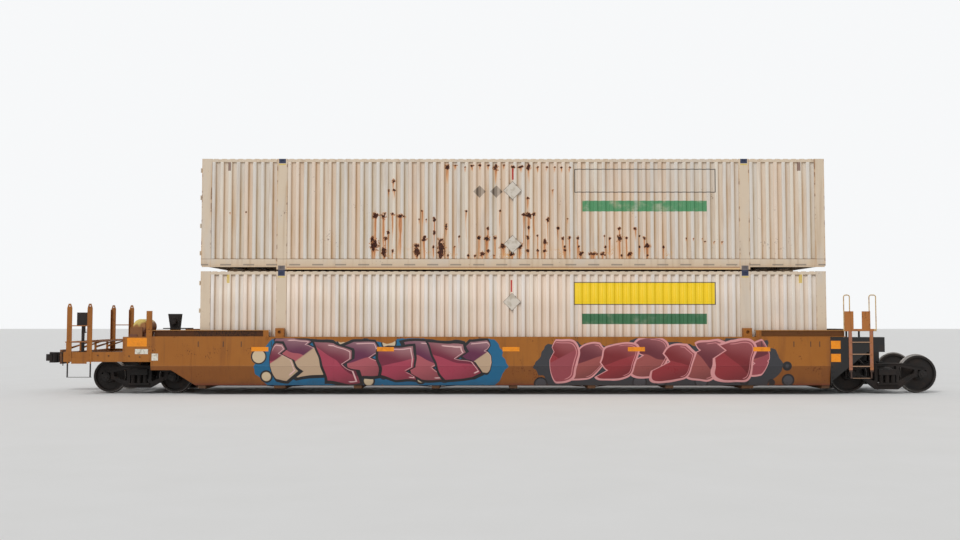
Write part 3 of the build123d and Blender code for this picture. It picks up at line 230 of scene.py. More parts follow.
def studio_floor():
    ground = Finish("studio_floor")
    tone = ground.over(colour(226, 225, 222), colour(232, 231, 229), ground.noise(0.8))
    half = 150.0
    height = cad_box[0].z
    corners = [(-half, -half, height), (half, -half, height), (half, half, height), (-half, half, height)]
    mesh_piece("studio_floor", corners, [(0, 1, 2, 3)], ground.finished(tone, 0.9), None)


def studio_sky():
    world = bpy.data.worlds.new("sky")
    bpy.context.scene.world = world
    world.use_nodes = True
    tree = world.node_tree
    tree.nodes.clear()
    seen = add_node(tree, "ShaderNodeLightPath", output="Is Camera Ray")
    for ray in ("Is Glossy Ray", "Is Transmission Ray"):
        other = add_node(tree, "ShaderNodeLightPath", output=ray)
        seen = add_node(tree, "ShaderNodeMath", {"operation": "MAXIMUM"}, {0: seen, 1: other})
    light = add_node(tree, "ShaderNodeBackground", None, {"Color": (0.95, 0.97, 1.0, 1.0), "Strength": 0.47})
    shown = add_node(tree, "ShaderNodeBackground", None, {"Color": (0.93, 0.94, 0.95, 1.0)})
    both = add_node(tree, "ShaderNodeMixShader", None, {0: seen, 1: light, 2: shown})
    tree.links.new(both, tree.nodes.new("ShaderNodeOutputWorld").inputs["Surface"])


def lamp(name, energy, angle, turn):
    made = bpy.data.objects.new(name, bpy.data.lights.new(name, "SUN"))
    made.data.energy = energy
    made.data.angle = math.radians(angle)
    made.rotation_euler = [math.radians(a) for a in turn]
    bpy.context.scene.collection.objects.link(made)


studio_floor()
studio_sky()
lamp("key", 1.15, 20.0, (44, 0, -34))
lamp("back", 0.4, 60.0, (-50, 0, 160))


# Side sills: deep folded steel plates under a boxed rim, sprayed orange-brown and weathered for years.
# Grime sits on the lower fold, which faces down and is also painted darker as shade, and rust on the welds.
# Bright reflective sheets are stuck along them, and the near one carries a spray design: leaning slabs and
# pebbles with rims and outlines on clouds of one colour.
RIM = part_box("side_sill_near")[1].z - 0.223
FOLD = 0.71
SIDE_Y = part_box("side_sill_near")[0].y
PAINT = colour(152, 90, 12)
PAINT_FADED = colour(166, 104, 34)
PAINT_DARK = colour(108, 58, 14)
GRIME = colour(52, 34, 20)
RUST = colour(84, 42, 22)
SOOT = colour(22, 19, 22)
TICKS = (-8.06, -7.42, -6.96, -6.19, 6.34, 7.16, 7.59, 7.82)
SEAM_X = (-8.237, -4.6, -1.1, 2.5, 6.0)
DESIGN_MIDDLE = 0.84
DESIGN_HALF = 0.58


def worn_paint(finish, base, low_grime=0.62):
    """Fading in clouds, runs of dirt, rust freckles and grime from the bottom up; gives colour and wear."""
    clouds = finish.rise(finish.noise(0.9, 4), 0.35, 0.7)
    runs = finish.rise(finish.noise(5.0, 3, (1, 1, 0.12), 7.0), 0.5, 0.72)
    fine_runs = finish.rise(finish.noise(17.0, 2, (1, 1, 0.06), 27.0), 0.55, 0.75)
    scatter = finish.noise(34.0, 2, (1, 1, 0.6), 3.0) * finish.noise(2.2, 3, shift=11.0)
    freckles = finish.rise(scatter, 0.36, 0.42)
    grime = finish.rise(finish.z + finish.noise(4.0, 4) * 0.4, low_grime + 0.24, low_grime - 0.2)
    tone = finish.over(base, PAINT_FADED, clouds * 0.4)
    tone = finish.over(tone, PAINT_DARK, runs * 0.4)
    tone = finish.over(tone, GRIME, fine_runs * 0.22)
    tone = finish.over(tone, GRIME, grime * 0.6)
    return finish.over(tone, RUST, freckles * 0.9), freckles | grime * 0.6


def seams(finish):
    """Butt welds down the side plate, as a height and a stain."""
    line = finish.within(finish.z, FOLD - 0.006, FOLD + 0.006)
    for x in SEAM_X:
        line = line | finish.within(finish.x, x - 0.006, x + 0.006) * finish.rise(finish.z, 1.05, 1.0)
    return line


def slab_level(aside, up, first, second):
    """0 in a slab's middle, 1 at its edge: four sides, a slanted head and foot, and a bite from one side."""
    level = abs(aside) | abs(up)
    level = level | (up + aside * (first - 0.5) * 1.3) * 0.92 | (aside * (second - 0.4) * 1.3 - up) * 0.92
    bite = 1.62 - (1.0 - aside) * 1.1 - abs(up - (second - 0.5) * 1.1) * 2.2
    return level | bite & 1.4


def pebble_level(aside, up, first, second):
    """The same for a rounded slab, bitten from the other side and with a thinner rim."""
    level = (aside * aside * aside * aside + up * up * up * up) ** 0.25
    level = level | (up - aside * (second - 0.5) * 1.2) * 0.95
    bite = 1.66 - (1.0 + aside) * 1.1 - abs(up - (first - 0.5) * 1.3) * 1.7
    return ((level | bite & 1.4) - 0.96) * 1.4 + 0.96


def spray_design(finish, shape, ends, pitch, lean, tones, rim, line, halo, dot, spare, shift):
    """Two rows of overlapping shapes, outlined and rimmed, in a cloud of one colour with round dots."""
    x0, x1 = ends
    outward = abs(finish.x - (x0 + x1) / 2)
    half = (x1 - x0) / 2
    drift = finish.noise(1.1, 1, (1, 0, 1), shift) - 0.5
    height = finish.z - DESIGN_MIDDLE + drift * 0.3
    cut_off = finish.rise(outward, half - 0.7, half - 0.2) * 2.5
    tone, covered = halo, 0.0
    for offset, lift, fills in ((0.5, 0.06, tones[2:]), (0.0, -0.02, tones[:2])):
        place = (finish.x - x0) / pitch + offset + drift * 0.35 + height * lean / pitch
        count = place.floor()
        first = (count * 0.382 + shift * 0.37).fract()
        second = (count * 0.618 + shift * 0.71 + offset).fract()
        aside = (place.fract() - 0.5) / (0.29 + first * 0.06) + height * (second - 0.5) * 1.4
        up = (height - lift - (second - 0.5) * 0.12) / (0.44 + first * 0.12)
        level = shape(aside, up, first, second) + cut_off
        fill = finish.over(fills[0], fills[1], finish.rise(up + aside * (first - 0.4) * 1.5, 0.02, 0.06))
        fill = finish.over(fill, rim, finish.rise(up + aside * 0.3, 0.1, 1.1) * 0.3)
        fill = finish.over(fill, SOOT, finish.rise(up - aside * 0.4, -0.1, -1.2) * 0.4)
        corner = finish.rise(second, 0.8, 0.81) * finish.rise(up - aside * 0.5, 0.1, 0.04)
        fill = finish.over(fill, spare, corner)
        edge = finish.within(level, 0.79, 0.84, 0.012) * finish.rise(aside + up * 0.4, 0.1, 0.25)
        fill = finish.over(fill, rim, edge)
        tone = finish.over(tone, line, finish.rise(level, 1.07, 1.05))
        tone = finish.over(tone, fill, finish.rise(level, 0.93, 0.91))
        covered = finish.rise(level, 1.07, 1.05) | covered
    cells = {"Vector": finish.stretched((1, 0, 1), shift), "Scale": 1.9, "Randomness": 0.6}
    spot = finish.node("ShaderNodeTexVoronoi", None, cells)
    centre = finish.node("ShaderNodeTexVoronoi", None, cells, "Position")
    centre_x = finish.node("ShaderNodeSeparateXYZ", sockets={0: centre}, output="X") - shift
    ring = finish.over(dot, SOOT, finish.rise(spot, 0.3, 0.33))
    dots = finish.rise(spot, 0.39, 0.37) * finish.rise(abs(centre_x - (x0 + x1) / 2), half + 0.1, half + 0.09)
    tone = finish.over(tone, ring, dots * (1.0 - covered))
    cloud = abs(height + 0.12) / DESIGN_HALF + finish.rise(outward, half - 0.6, half + 0.4) * 2.2
    cloud = cloud + (finish.noise(1.9, 2, (1, 0, 1), shift + 9.0) - 0.5) * 1.5
    strays = dots * finish.rise(outward, half - 0.5, half - 0.45)
    return tone, finish.rise(cloud, 1.08, 1.04) | covered | strays


DESIGNS = (
    {"shape": slab_level, "ends": (-6.75, 0.0), "pitch": 1.5, "lean": 0.35, "shift": 4.0,
     "tones": (colour(160, 58, 78), colour(110, 28, 52), colour(166, 82, 90), colour(92, 32, 64)),
     "rim": colour(222, 180, 178), "line": SOOT, "halo": colour(8, 94, 132), "dot": colour(206, 184, 150),
     "spare": colour(186, 158, 130)},
    {"shape": pebble_level, "ends": (0.4, 7.0), "pitch": 1.5, "lean": -0.3, "shift": 21.0,
     "tones": (colour(142, 44, 50), colour(116, 28, 34), colour(150, 76, 72), colour(98, 34, 44)),
     "rim": colour(206, 132, 134), "line": colour(214, 146, 146), "halo": colour(50, 50, 54),
     "dot": colour(66, 64, 68), "spare": colour(146, 66, 74)},
)


def side_paint(name, near):
    sheet = Finish(name)
    base, wear = worn_paint(sheet, PAINT, 0.36)
    welds = seams(sheet)
    base = sheet.over(base, PAINT_DARK, welds * 0.5)
    # Painted shade: the plate below the fold faces down, so it is darkened here.
    base = sheet.over(base, PAINT_DARK, sheet.rise(sheet.z, FOLD + 0.01, FOLD - 0.03) * 0.6)
    foot = sheet.rise(sheet.z + sheet.noise(6.0) * 0.06, 0.32, 0.26)
    base = sheet.over(base, colour(116, 44, 22), foot * 0.6)
    if near:
        front = sheet.rise(sheet.y, SIDE_Y + 0.16, SIDE_Y + 0.12)
        front = front * sheet.rise(sheet.z, RIM - 0.02, RIM - 0.05)
        for design in DESIGNS:
            art, there = spray_design(sheet, **design)
            base = sheet.over(base, art, there * front)
        dirt = sheet.rise(sheet.z + sheet.noise(5.0, 4) * 0.3, 0.6, 0.25)
        base = sheet.over(base, GRIME, dirt * 0.4)
    marks = 0.0
    for x in TICKS:
        marks = sheet.patch(x - 0.012, x + 0.012, 1.2, 1.34) | marks
    base = sheet.over(base, colour(40, 34, 30), marks * 0.85)
    return sheet.finished(base, 0.5 + wear * 0.35, height=sheet.noise(2.4, 2) * 0.6 + welds * 0.7, deep=0.006)


def dress(names, material):
    for name in names:
        nodes[name].data.materials.clear()
        nodes[name].data.materials.append(material)


def plain_paint(name, base=PAINT, low_grime=0.62):
    coat = Finish(name)
    tone, wear = worn_paint(coat, base, low_grime)
    return coat.finished(tone, 0.5 + wear * 0.35, height=coat.noise(9.0, 3), deep=0.002)


def smudged(name, clean, dirty, grain, spread, rough=0.5):
    """A sheet under clouds of dirt; grain is their scale and detail, and spread where dirt sets in."""
    sheet = Finish(name)
    dirt = sheet.rise(sheet.noise(*grain), *spread)
    return sheet.finished(sheet.over(clean, dirty, dirt), rough)


def plates(name, outlines, material, body):
    """Plates in one piece, one for each four corners in x and z with the y of its two faces."""
    verts = []
    faces = []
    for corners, y0, y1 in outlines:
        a = len(verts)
        verts += [(x, y, z) for y in (y0, y1) for x, z in corners]
        faces += [(a, a + 1, a + 2, a + 3), (a + 4, a + 5, a + 6, a + 7)]
        faces += [(a + i, a + (i + 1) % 4, a + 4 + (i + 1) % 4, a + 4 + i) for i in range(4)]
    mesh_piece(name, verts, faces, material, body)


def slabs(name, limits, material, body):
    """Flat-sided bits in one piece, one for each (x0, x1, y0, y1, z0, z1) in metres."""
    plates(name, [(((x0, z0), (x1, z0), (x1, z1), (x0, z1)), y0, y1) for x0, x1, y0, y1, z0, z1 in limits],
           material, body)


def sheets(name, spots, face, proud, material, body):
    """Thin sheets on a side, one for each (x, z, width, height); face is the y of what they are stuck to."""
    out = math.copysign(proud, face)
    slabs(name, [(x - wide / 2, x + wide / 2, face, face + out, z - high / 2, z + high / 2)
                 for x, z, wide, high in spots], material, body)


car_paint = plain_paint("weathered_orange_paint")
dress(["side_sill_near"], side_paint("near_side_paint", True))
dress(["side_sill_far"], side_paint("far_side_paint", False))

reflect = Finish("reflective_orange_sheet")
cells = reflect.node("ShaderNodeTexVoronoi", None, {"Vector": reflect.place, "Scale": 90.0})
dirt = reflect.rise(reflect.noise(7.0, 4), 0.45, 0.75)
reflect_tone = reflect.over(colour(255, 166, 12), colour(240, 138, 8), reflect.rise(cells, 0.2, 0.5))
reflect_tone = reflect.over(reflect_tone, GRIME, dirt * 0.25)
reflective_orange = reflect.finished(reflect_tone, 0.32, height=cells, deep=0.0005)

REFLECTORS = [(x, 1.143, 0.435, 0.11) for x in (-6.483, -3.276, -0.068, 3.136, 6.337)]
REFLECTORS += [(-9.624, 1.319, 0.504, 0.215), (8.228, 1.2535, 0.246, 0.205), (8.228, 0.9205, 0.246, 0.205)]
for side, y in (("near", SIDE_Y), ("far", -SIDE_Y)):
    sheets(f"reflectors_{side}", REFLECTORS, y, 0.002, reflective_orange, "well_car")

white_label = smudged("white_label_sheet", colour(226, 222, 208), colour(170, 160, 140),
                      (12.0, 4), (0.4, 0.7))
sheets("labels_near", [(-9.505, 1.082, 0.333, 0.128), (-9.164, 0.941, 0.164, 0.18)], SIDE_Y, 0.0015,
       white_label, "well_car")


# Bolts, rivets and pin heads, wherever two steel pieces of the car meet: short hexagons or round heads.
# Each group is one set of points along the joint, with the same head set on every point.
class Pattern:
    """A Geometry Nodes tree in the making, for parts that repeat: named sizes in, one joined mesh out."""

    def __init__(self, name):
        self.tree = bpy.data.node_groups.new(name, "GeometryNodeTree")
        self.keys = {}
        self.entry = self.tree.nodes.new("NodeGroupInput")
        self.points = self.given("Points", "Geometry")

    def given(self, name, kind):
        socket = self.tree.interface.new_socket(name, in_out="INPUT", socket_type=f"NodeSocket{kind}")
        self.keys[name] = socket.identifier
        return self.entry.outputs[name]

    def node(self, kind, settings=None, sockets=None, output=0):
        return add_node(self.tree, kind, settings, sockets, output)

    def closed(self, shape, **placed):
        """The tree's end: the shape on every point, as real meshes, in the material that is given."""
        copies = {"Points": self.points, "Instance": shape} | placed
        real = self.node("GeometryNodeRealizeInstances", None,
                         {0: self.node("GeometryNodeInstanceOnPoints", None, copies)})
        coated = self.node("GeometryNodeSetMaterial", None, {"Geometry": real,
                                                             "Material": self.given("Finish", "Material")})
        self.tree.interface.new_socket("Mesh", in_out="OUTPUT", socket_type="NodeSocketGeometry")
        self.tree.links.new(coated, self.tree.nodes.new("NodeGroupOutput").inputs[0])

    def piece(self, name, spots, given, body):
        """The pattern grown on the spots, kept as a plain mesh that rides on its body."""
        seed = bpy.data.meshes.new(name)
        seed.from_pydata([tuple(spot) for spot in spots], [], [])
        made = bpy.data.objects.new(name, seed)
        bpy.context.scene.collection.objects.link(made)
        grower = made.modifiers.new("pattern", "NODES")
        grower.node_group = self.tree
        for key, value in given.items():
            grower[self.keys[key]] = value
        grown = made.evaluated_get(bpy.context.evaluated_depsgraph_get())
        mesh = bpy.data.meshes.new_from_object(grown)
        made.modifiers.clear()
        made.data = mesh
        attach(made, body)
        return made


heads = Pattern("bolt_heads")
stub = heads.node("GeometryNodeMeshCone", None,
                  {"Vertices": heads.given("Sides", "Int"), "Radius Bottom": heads.given("Radius", "Float"),
                   "Radius Top": heads.given("Crown", "Float"), "Depth": heads.given("Height", "Float")})
heads.closed(stub, Rotation=heads.given("Turn", "Vector"))

OUTWARD = {"near": (math.pi / 2, 0.0, 0.0), "far": (-math.pi / 2, 0.0, 0.0), "up": (0.0, 0.0, 0.0),
           "left": (0.0, -math.pi / 2, 0.0), "right": (0.0, math.pi / 2, 0.0)}


def bolts(name, spots, side, radius, high, material, body, slot, sides=6):
    heads.piece(name, spots, {"Sides": sides, "Radius": radius, "Crown": radius * 0.86, "Height": high,
                              "Turn": OUTWARD[side], "Finish": material}, body)


def bolts_both_sides(name, spots, *how):
    """The same bolts on the near side and mirrored on the far side, a piece each."""
    for side, sign in (("near", -1), ("far", 1)):
        bolts(f"{name}_{side}", [(x, sign * abs(y), z) for x, y, z in spots], side, *how)


def ring(count, radius, turn=0.0):
    """Steps from the middle of a circle to so many bolts on it."""
    angles = [math.tau / count * (i + turn) for i in range(count)]
    return [(radius * math.cos(a), radius * math.sin(a)) for a in angles]


LUG_X = (-6.33, 6.26)
LUG_FACE = 1.512
STILE_X = (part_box("coupler_ladder_near")[0].x + 0.065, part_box("coupler_ladder_near")[1].x - 0.065)
lug_pins = [(x, LUG_FACE, RIM) for x in LUG_X]
stile_bolts = [(x, LUG_FACE, z) for x in STILE_X for z in (1.33, 1.74, 0.86, 1.0)]
bolts_both_sides("lug_pins", lug_pins, 0.034, 0.012, car_paint, "well_car", "car_paint", 16)
bolts_both_sides("ladder_bolts", stile_bolts, 0.015, 0.014, car_paint, "well_car", "car_paint")
dark_bolts = plain_paint("oily_bolts", colour(40, 30, 24), 1.2)
panel_bolts = [(x, SIDE_Y, z) for x in (-9.95, -9.31) for z in (0.87, 1.0, 1.13, 1.26, 1.39)]
bolts_both_sides("bolster_rivets", panel_bolts, 0.014, 0.01, car_paint, "well_car", "car_paint", 10)
beam_bolts = [(x, SIDE_Y, z) for x, z in ((-10.62, 0.985), (-10.345, 0.975), (-9.82, 0.965), (-9.55, 0.945))]
bolts_both_sides("beam_bolts", beam_bolts, 0.02, 0.014, dark_bolts, "well_car", "car_paint", 12)


# Raised channels, well floor, deck and bolster: the same steel and paint, dirtier where they lie flat.
# The channels turn their open side out; their insides are painted darker as shade, with dark flakes near the
# coupler end.
channel = Finish("channel_paint")
channel_base, channel_wear = worn_paint(channel, PAINT, 0.2)
# Painted shade: the inside of each channel, under its top flange, is darkened, more so towards the coupler
# end.
hollow = channel.rise(abs(channel.y), 1.49, 1.40)
flakes = channel.rise(channel.noise(34.0, 3, (1, 1, 0.6), 8.0), 0.46, 0.58)
flakes = flakes * channel.rise(channel.x, -6.5, -6.7) * channel.rise(channel.x, -8.3, -8.1)
inside = channel.over(colour(92, 52, 20), colour(136, 88, 40), channel.rise(channel.x, 0.0, 1.0))
channel_base = channel.over(channel_base, inside, hollow * 0.75)
channel_base = channel.over(channel_base, colour(40, 26, 16), flakes * hollow * 0.7)
# Painted highlight: a thin pale line along the top flange's outer edge.
lip_highlight = channel.rise(channel.z, 1.618, 1.622) * channel.rise(abs(channel.y), 1.44, 1.46)
channel_base = channel.over(channel_base, colour(204, 150, 84), lip_highlight * 0.7)
dress([f"channel_{end}_{side}" for end in ("coupler", "joint") for side in ("far", "near")],
      channel.finished(channel_base, 0.55 + channel_wear * 0.3, height=channel.noise(8.0), deep=0.002))

floor_paint = plain_paint("dusty_floor_paint", colour(112, 78, 50), 0.5)
dress(["well_floor", "coupler_end_deck"], floor_paint)
dress(["body_bolster", "end_sill", "coupler_platform", "post_plate"], car_paint)

stiles = Finish("coupler_ladder_paint")
stile_tone, stile_wear = worn_paint(stiles, PAINT)
stile_tone = stiles.over(stile_tone, colour(36, 29, 25), stiles.rise(stiles.z, 0.775, 0.765))
stile_paint = stiles.finished(stile_tone, 0.5 + stile_wear * 0.3, height=stiles.noise(9.0), deep=0.002)
dress(["coupler_ladder_far", "coupler_ladder_near"], stile_paint)

tank = Finish("air_reservoir_paint")
tank_tone, tank_wear = worn_paint(tank, colour(146, 98, 56), 0.2)
# Painted light: the tank's top is painted pale cream as a highlight and its lower side dark as shade.
light_and_shade_height = tank.z + tank.noise(9.0, 3, (1, 1, 0.3)) * 0.24 - tank.rise(tank.x, -9.6, -9.4) * 0.1
tank_tone = tank.over(tank_tone, colour(212, 190, 104), tank.rise(light_and_shade_height, 1.84, 1.93) * 0.85)
tank_tone = tank.over(tank_tone, colour(88, 46, 36), tank.rise(light_and_shade_height, 1.80, 1.66) * 0.8)
dress(["air_reservoir"], tank.finished(tank_tone, 0.5 + tank_wear * 0.3, height=tank.noise(9.0), deep=0.002))
slabs("reservoir_bracket", [(-9.815, -9.50, -1.475, -1.455, 1.45, 1.70)],
      plain_paint("bracket_paint", colour(104, 62, 34)), "well_car")


# Walkway gratings: pressed bars on edge between the frame of each platform, close enough to stand on.
# They run along the car, across the heavier bars that carry them.
SLAT_PITCH = 0.034
slats = Pattern("grating_slats")
bar = slats.node("ShaderNodeCombineXYZ", None,
                 {"X": slats.given("Length", "Float"), "Y": slats.given("Width", "Float"),
                  "Z": slats.given("Depth", "Float")})
slats.closed(slats.node("GeometryNodeMeshCube", None, {"Size": bar}))


def walkway(name, node, material):
    low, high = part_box(node)
    half = high.y - 0.025
    count = round(2 * half / SLAT_PITCH)
    spots = [((low.x + high.x) / 2, -half + (i + 0.5) * 2 * half / count, high.z - 0.014)
             for i in range(count)]
    slats.piece(name, spots, {"Length": high.x - low.x - 0.04, "Width": 0.004, "Depth": 0.022,
                              "Finish": material}, "well_car")


walkway("coupler_walkway_slats", "coupler_platform", car_paint)


# Coupler end: the draft sill is painted, and coupler and brake gear are bare castings and black pipe under
# road dust. Screws close the brake valve's cover and the cylinder's flange.
def cast_iron(name, base=colour(24, 18, 15), dust=colour(48, 40, 33)):
    """Sand-cast iron gone nearly black, rough, with dust and a painted highlight on what faces up and
    oil-dark hollows.
    """
    iron = Finish(name)
    grain = iron.noise(70.0, 3)
    # Painted highlight with dust: faces that look up are made lighter.
    dust_and_highlight = iron.rise(iron.facing_up() + iron.noise(6.0, 4) * 0.6, 0.6, 1.2)
    blotch = iron.rise(iron.noise(3.5, 4, shift=9.0), 0.42, 0.68)
    tone = iron.over(base, colour(44, 31, 24), blotch * 0.5)
    tone = iron.over(tone, dust, dust_and_highlight * 0.55)
    tone = iron.over(tone, colour(16, 14, 13), iron.rise(iron.noise(2.2, 3, shift=5.0), 0.5, 0.7) * 0.65)
    return iron.finished(tone, 0.68 + grain * 0.3, height=grain + iron.noise(12.0, 2) * 0.8, deep=0.003)


truck_iron = cast_iron("truck_iron")
rigging = cast_iron("brake_rigging", colour(34, 28, 26))
dress(["stub_sill"], plain_paint("sill_paint", colour(118, 78, 46), 1.2))
dress(["coupler_head", "knuckle"], truck_iron)
dress(["brake_valve", "brake_cylinder", "hand_brake", "uncoupling_lever", "brake_pipe"], rigging)

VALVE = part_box("brake_valve")
valve_x = (VALVE[0].x + VALVE[1].x) / 2
shelf = (VALVE[0].x - 0.11, VALVE[1].x + 0.29, VALVE[0].y + 0.02, VALVE[1].y - 0.02, 1.645, 1.67)
slabs("brake_valve_shelf", [shelf], rigging, "well_car")
cover_bolts = [(valve_x + a, VALVE[0].y + 0.004, 1.86 + b) for a, b in ring(6, 0.075)]
bolts("brake_valve_bolts", cover_bolts, "near", 0.011, 0.016, rigging, "well_car", "dark_metal")
CYLINDER_X = -8.76
flange_bolts = [(CYLINDER_X, 0.76 + a, 1.23 + b) for a, b in ring(8, 0.15, 0.5)]
bolts("brake_cylinder_bolts", flange_bolts, "right", 0.011, 0.02, rigging, "well_car", "dark_metal")
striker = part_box("stub_sill")
striker_rivets = [(striker[0].x, y, z) for y in (-0.22, 0.22) for z in (0.78, 0.86, 0.94, 1.02)]
bolts("striker_rivets", striker_rivets, "left", 0.015, 0.012, car_paint, "well_car", "car_paint", 10)


# Joint end: the arms and the shared platform are dark grey steel, while the ladder keeps the car's orange
# and its hoops are cream.
grey = Finish("joint_end_grey")
grey_tone, grey_wear = worn_paint(grey, colour(25, 22, 20), 0.8)
grey_tone = grey.over(colour(20, 18, 17), grey_tone, grey.rise(grey.noise(3.0, 4, shift=2.0), 0.5, 0.8) * 0.4)
edge = grey.rise(grey.z, 1.60, 1.61) * grey.rise(abs(grey.y), 1.40, 1.42)
grey_tone = grey.over(grey_tone, colour(168, 138, 108), edge * 0.8)
end_grey = grey.finished(grey_tone, 0.5 + grey_wear * 0.3, height=grey.noise(7.0), deep=0.003)
dress(["joint_frame", "articulated_connector", "joint_platform"], end_grey)
walkway("joint_walkway_slats", "joint_platform", end_grey)

HOOP_FOOT = 2.12
JOINT_STILES = (8.6025, 9.1375)
ladder = Finish("ladder_paint")
ladder_tone, ladder_wear = worn_paint(ladder, colour(172, 106, 50), 0.5)
cream_worn = ladder.rise(ladder.noise(14.0, 4), 0.45, 0.7)
cream = ladder.over(colour(206, 176, 124), colour(166, 122, 76), cream_worn)
outer_legs = ladder.rise(ladder.x, 8.452, 8.448) | ladder.rise(ladder.x, 9.205, 9.21)
ladder_tone = ladder.over(ladder_tone, cream, ladder.rise(ladder.z, HOOP_FOOT, HOOP_FOOT + 0.01) | outer_legs)
climbed = ladder.rise(ladder.z, 1.62, 1.60)
worn = climbed * (0.3 + ladder.rise(ladder.noise(4.0, 4, shift=6.0), 0.4, 0.6) * 0.5)
ladder_tone = ladder.over(ladder_tone, colour(158, 104, 86), worn)
rungs = ladder.within(ladder.x, JOINT_STILES[0] + 0.045, JOINT_STILES[1] - 0.045) * climbed
ladder_tone = ladder.over(ladder_tone, colour(166, 134, 108), rungs * 0.9)
legs = ladder.rise(ladder.z, 0.62, 0.60) * (1.0 - rungs)
ladder_tone = ladder.over(ladder_tone, colour(44, 36, 32), legs * 0.9)
ladder_paint = ladder.finished(ladder_tone, 0.5 + ladder_wear * 0.3, height=ladder.noise(9.0), deep=0.002)
dress(["joint_ladder"], ladder_paint)
rung_bolts = [(x, -LUG_FACE, z) for x in JOINT_STILES for z in (0.705, 1.014, 1.319)]
bolts("joint_ladder_bolts", rung_bolts, "near", 0.014, 0.014, ladder_paint, "well_car", "car_paint")
splice = [(x, SIDE_Y, z) for x in (8.125, 8.16) for z in (0.42, 0.56, 0.70, 1.09, 1.42)]
bolts_both_sides("joint_arm_bolts", splice, 0.013, 0.012, end_grey, "well_car", "end_grey")


# Trucks: two cast sideframes and a bolster on coil springs, carried by four wheels with rolled treads.
# Treads and flanges run bright, and the plates inside them stay brown. Each spring is an outer coil of thick
# bar with a thinner one inside it, and three cap screws close every bearing.
AXLES = {j["child"]: j["pos_m"] for j in frame["joints"] if j.get("continuous")}
SPRING_R = 0.060
SPRING_PITCH = (0.155, 0.124)
SPRINGS = (
    # name, bar radius, coil radius to the bar's middle, turns, wound the other way
    ("springs", 0.0125, SPRING_R - 0.0125, 6.5, False),
    ("inner_springs", 0.008, 0.026, 9.5, True),
)


def wheel_steel(name, axle):
    """Turned steel: rust brown on plate and hub, bright and streaked on tread and flange."""
    steel = Finish(name)
    across, up = steel.x - axle[0], steel.z - axle[2]
    radius = (across * across + up * up) ** 0.5
    rolling = steel.rise(radius, axle[2] - 0.012, axle[2] - 0.004) * steel.rise(abs(steel.y), 0.845, 0.83)
    blotch = steel.rise(steel.noise(5.0, 4), 0.4, 0.7)
    plate = steel.over(colour(30, 24, 20), colour(44, 32, 24), blotch)
    plate = steel.over(plate, colour(20, 18, 17), steel.rise(steel.noise(2.0, 3, shift=4.0), 0.5, 0.65) * 0.7)
    plate = steel.over(plate, colour(24, 21, 20), steel.rise(radius, 0.17, 0.13) * 0.6)
    tone = steel.over(plate, colour(150, 145, 140), rolling * 0.9)
    return steel.finished(tone, 0.75 - rolling * 0.45, rolling * 0.9, height=steel.noise(40.0, 2), deep=0.001)


coils = Pattern("coil_springs")
coil_radius = coils.given("Radius", "Float")
line = coils.node("GeometryNodeCurveSpiral", None,
                  {"Resolution": 14, "Rotations": coils.given("Turns", "Float"),
                   "Start Radius": coil_radius, "End Radius": coil_radius,
                   "Height": coils.given("Height", "Float"), "Reverse": coils.given("Reverse", "Bool")},
                  output="Curve")
section = coils.node("GeometryNodeCurvePrimitiveCircle", None,
                     {"Resolution": 7, "Radius": coils.given("Bar", "Float")}, output="Curve")
coils.closed(coils.node("GeometryNodeCurveToMesh", None,
                        {"Curve": line, "Profile Curve": section, "Fill Caps": True}))

for truck in ("end_truck", "joint_truck"):
    dress([f"{truck}_{part}" for part in ("sideframes", "bolster")], truck_iron)
    dress([f"{truck}_brake_beams"], rigging)
    low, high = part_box(f"{truck}_springs")
    middle = (low.x + high.x) / 2
    outer_y = high.y - SPRING_R
    seat = SPRINGS[0][1]
    feet = [(middle + i * SPRING_PITCH[0], side * y, low.z + seat) for i in (-1, 0, 1)
            for y in (outer_y, outer_y - SPRING_PITCH[1]) for side in (-1, 1)]
    for name, thick, radius, turns, reverse in SPRINGS:
        made = coils.piece(f"{truck}_coil_{name}", feet,
                           {"Turns": turns, "Radius": radius, "Height": high.z - low.z - 2 * seat,
                            "Bar": thick, "Reverse": reverse, "Finish": rigging}, truck)
        if name == "springs":
            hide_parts(f"{truck}_springs")
for wheelset, axle in AXLES.items():
    dress([wheelset], wheel_steel(f"{wheelset}_steel", axle))
    end_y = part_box(wheelset)[1].y
    screws = [(axle[0] + a, end_y, axle[2] + b) for b, a in ring(3, 0.042)]
    bolts_both_sides(f"{wheelset}_cap_screws", screws, 0.017, 0.014, rigging, wheelset, "wheel_steel")


# Container walls: thin steel pressed into upright ribs, between posts and rails, sprayed off-white.
# Each rib's valley and the slope that faces +x are painted tan, partly stain and partly painted shade.
# The upper box is older: warm stains in its valleys, and rust in spots and runs where the paint was knocked
# off. The lower one is nearly clean.
WALL_OUT = 1.2955
WALL_IN = 1.2455
RIB_PITCH = 0.210
RIB_DEEP = 0.036
PANELS = ((-7.822, -6.1275), (-5.8575, 5.8575), (6.1275, 7.822))
RIB = (
    # share of the pitch, share of the depth, how stained, with painted shade on the slope facing +x
    (0.0, 0.5, 0.35), (0.045, 0.12, 0.15), (0.10, 0.0, 0.0), (0.20, 0.0, 0.0), (0.30, 0.0, 0.05),
    (0.40, 0.0, 0.25), (0.455, 0.12, 0.75), (0.50, 0.5, 1.0), (0.545, 0.88, 1.0), (0.60, 1.0, 0.85),
    (0.70, 1.0, 0.6), (0.80, 1.0, 0.45), (0.90, 1.0, 0.4), (0.955, 0.88, 0.45),
)
PICTURE_X = 480
PICTURE_Z = 318
PICTURE_SCALE = 38.74
FINE_ROWS = ((1.30, 52), (2.385, 28), (2.521, 6))
PLAIN_ROWS = ((2.521, 3),)
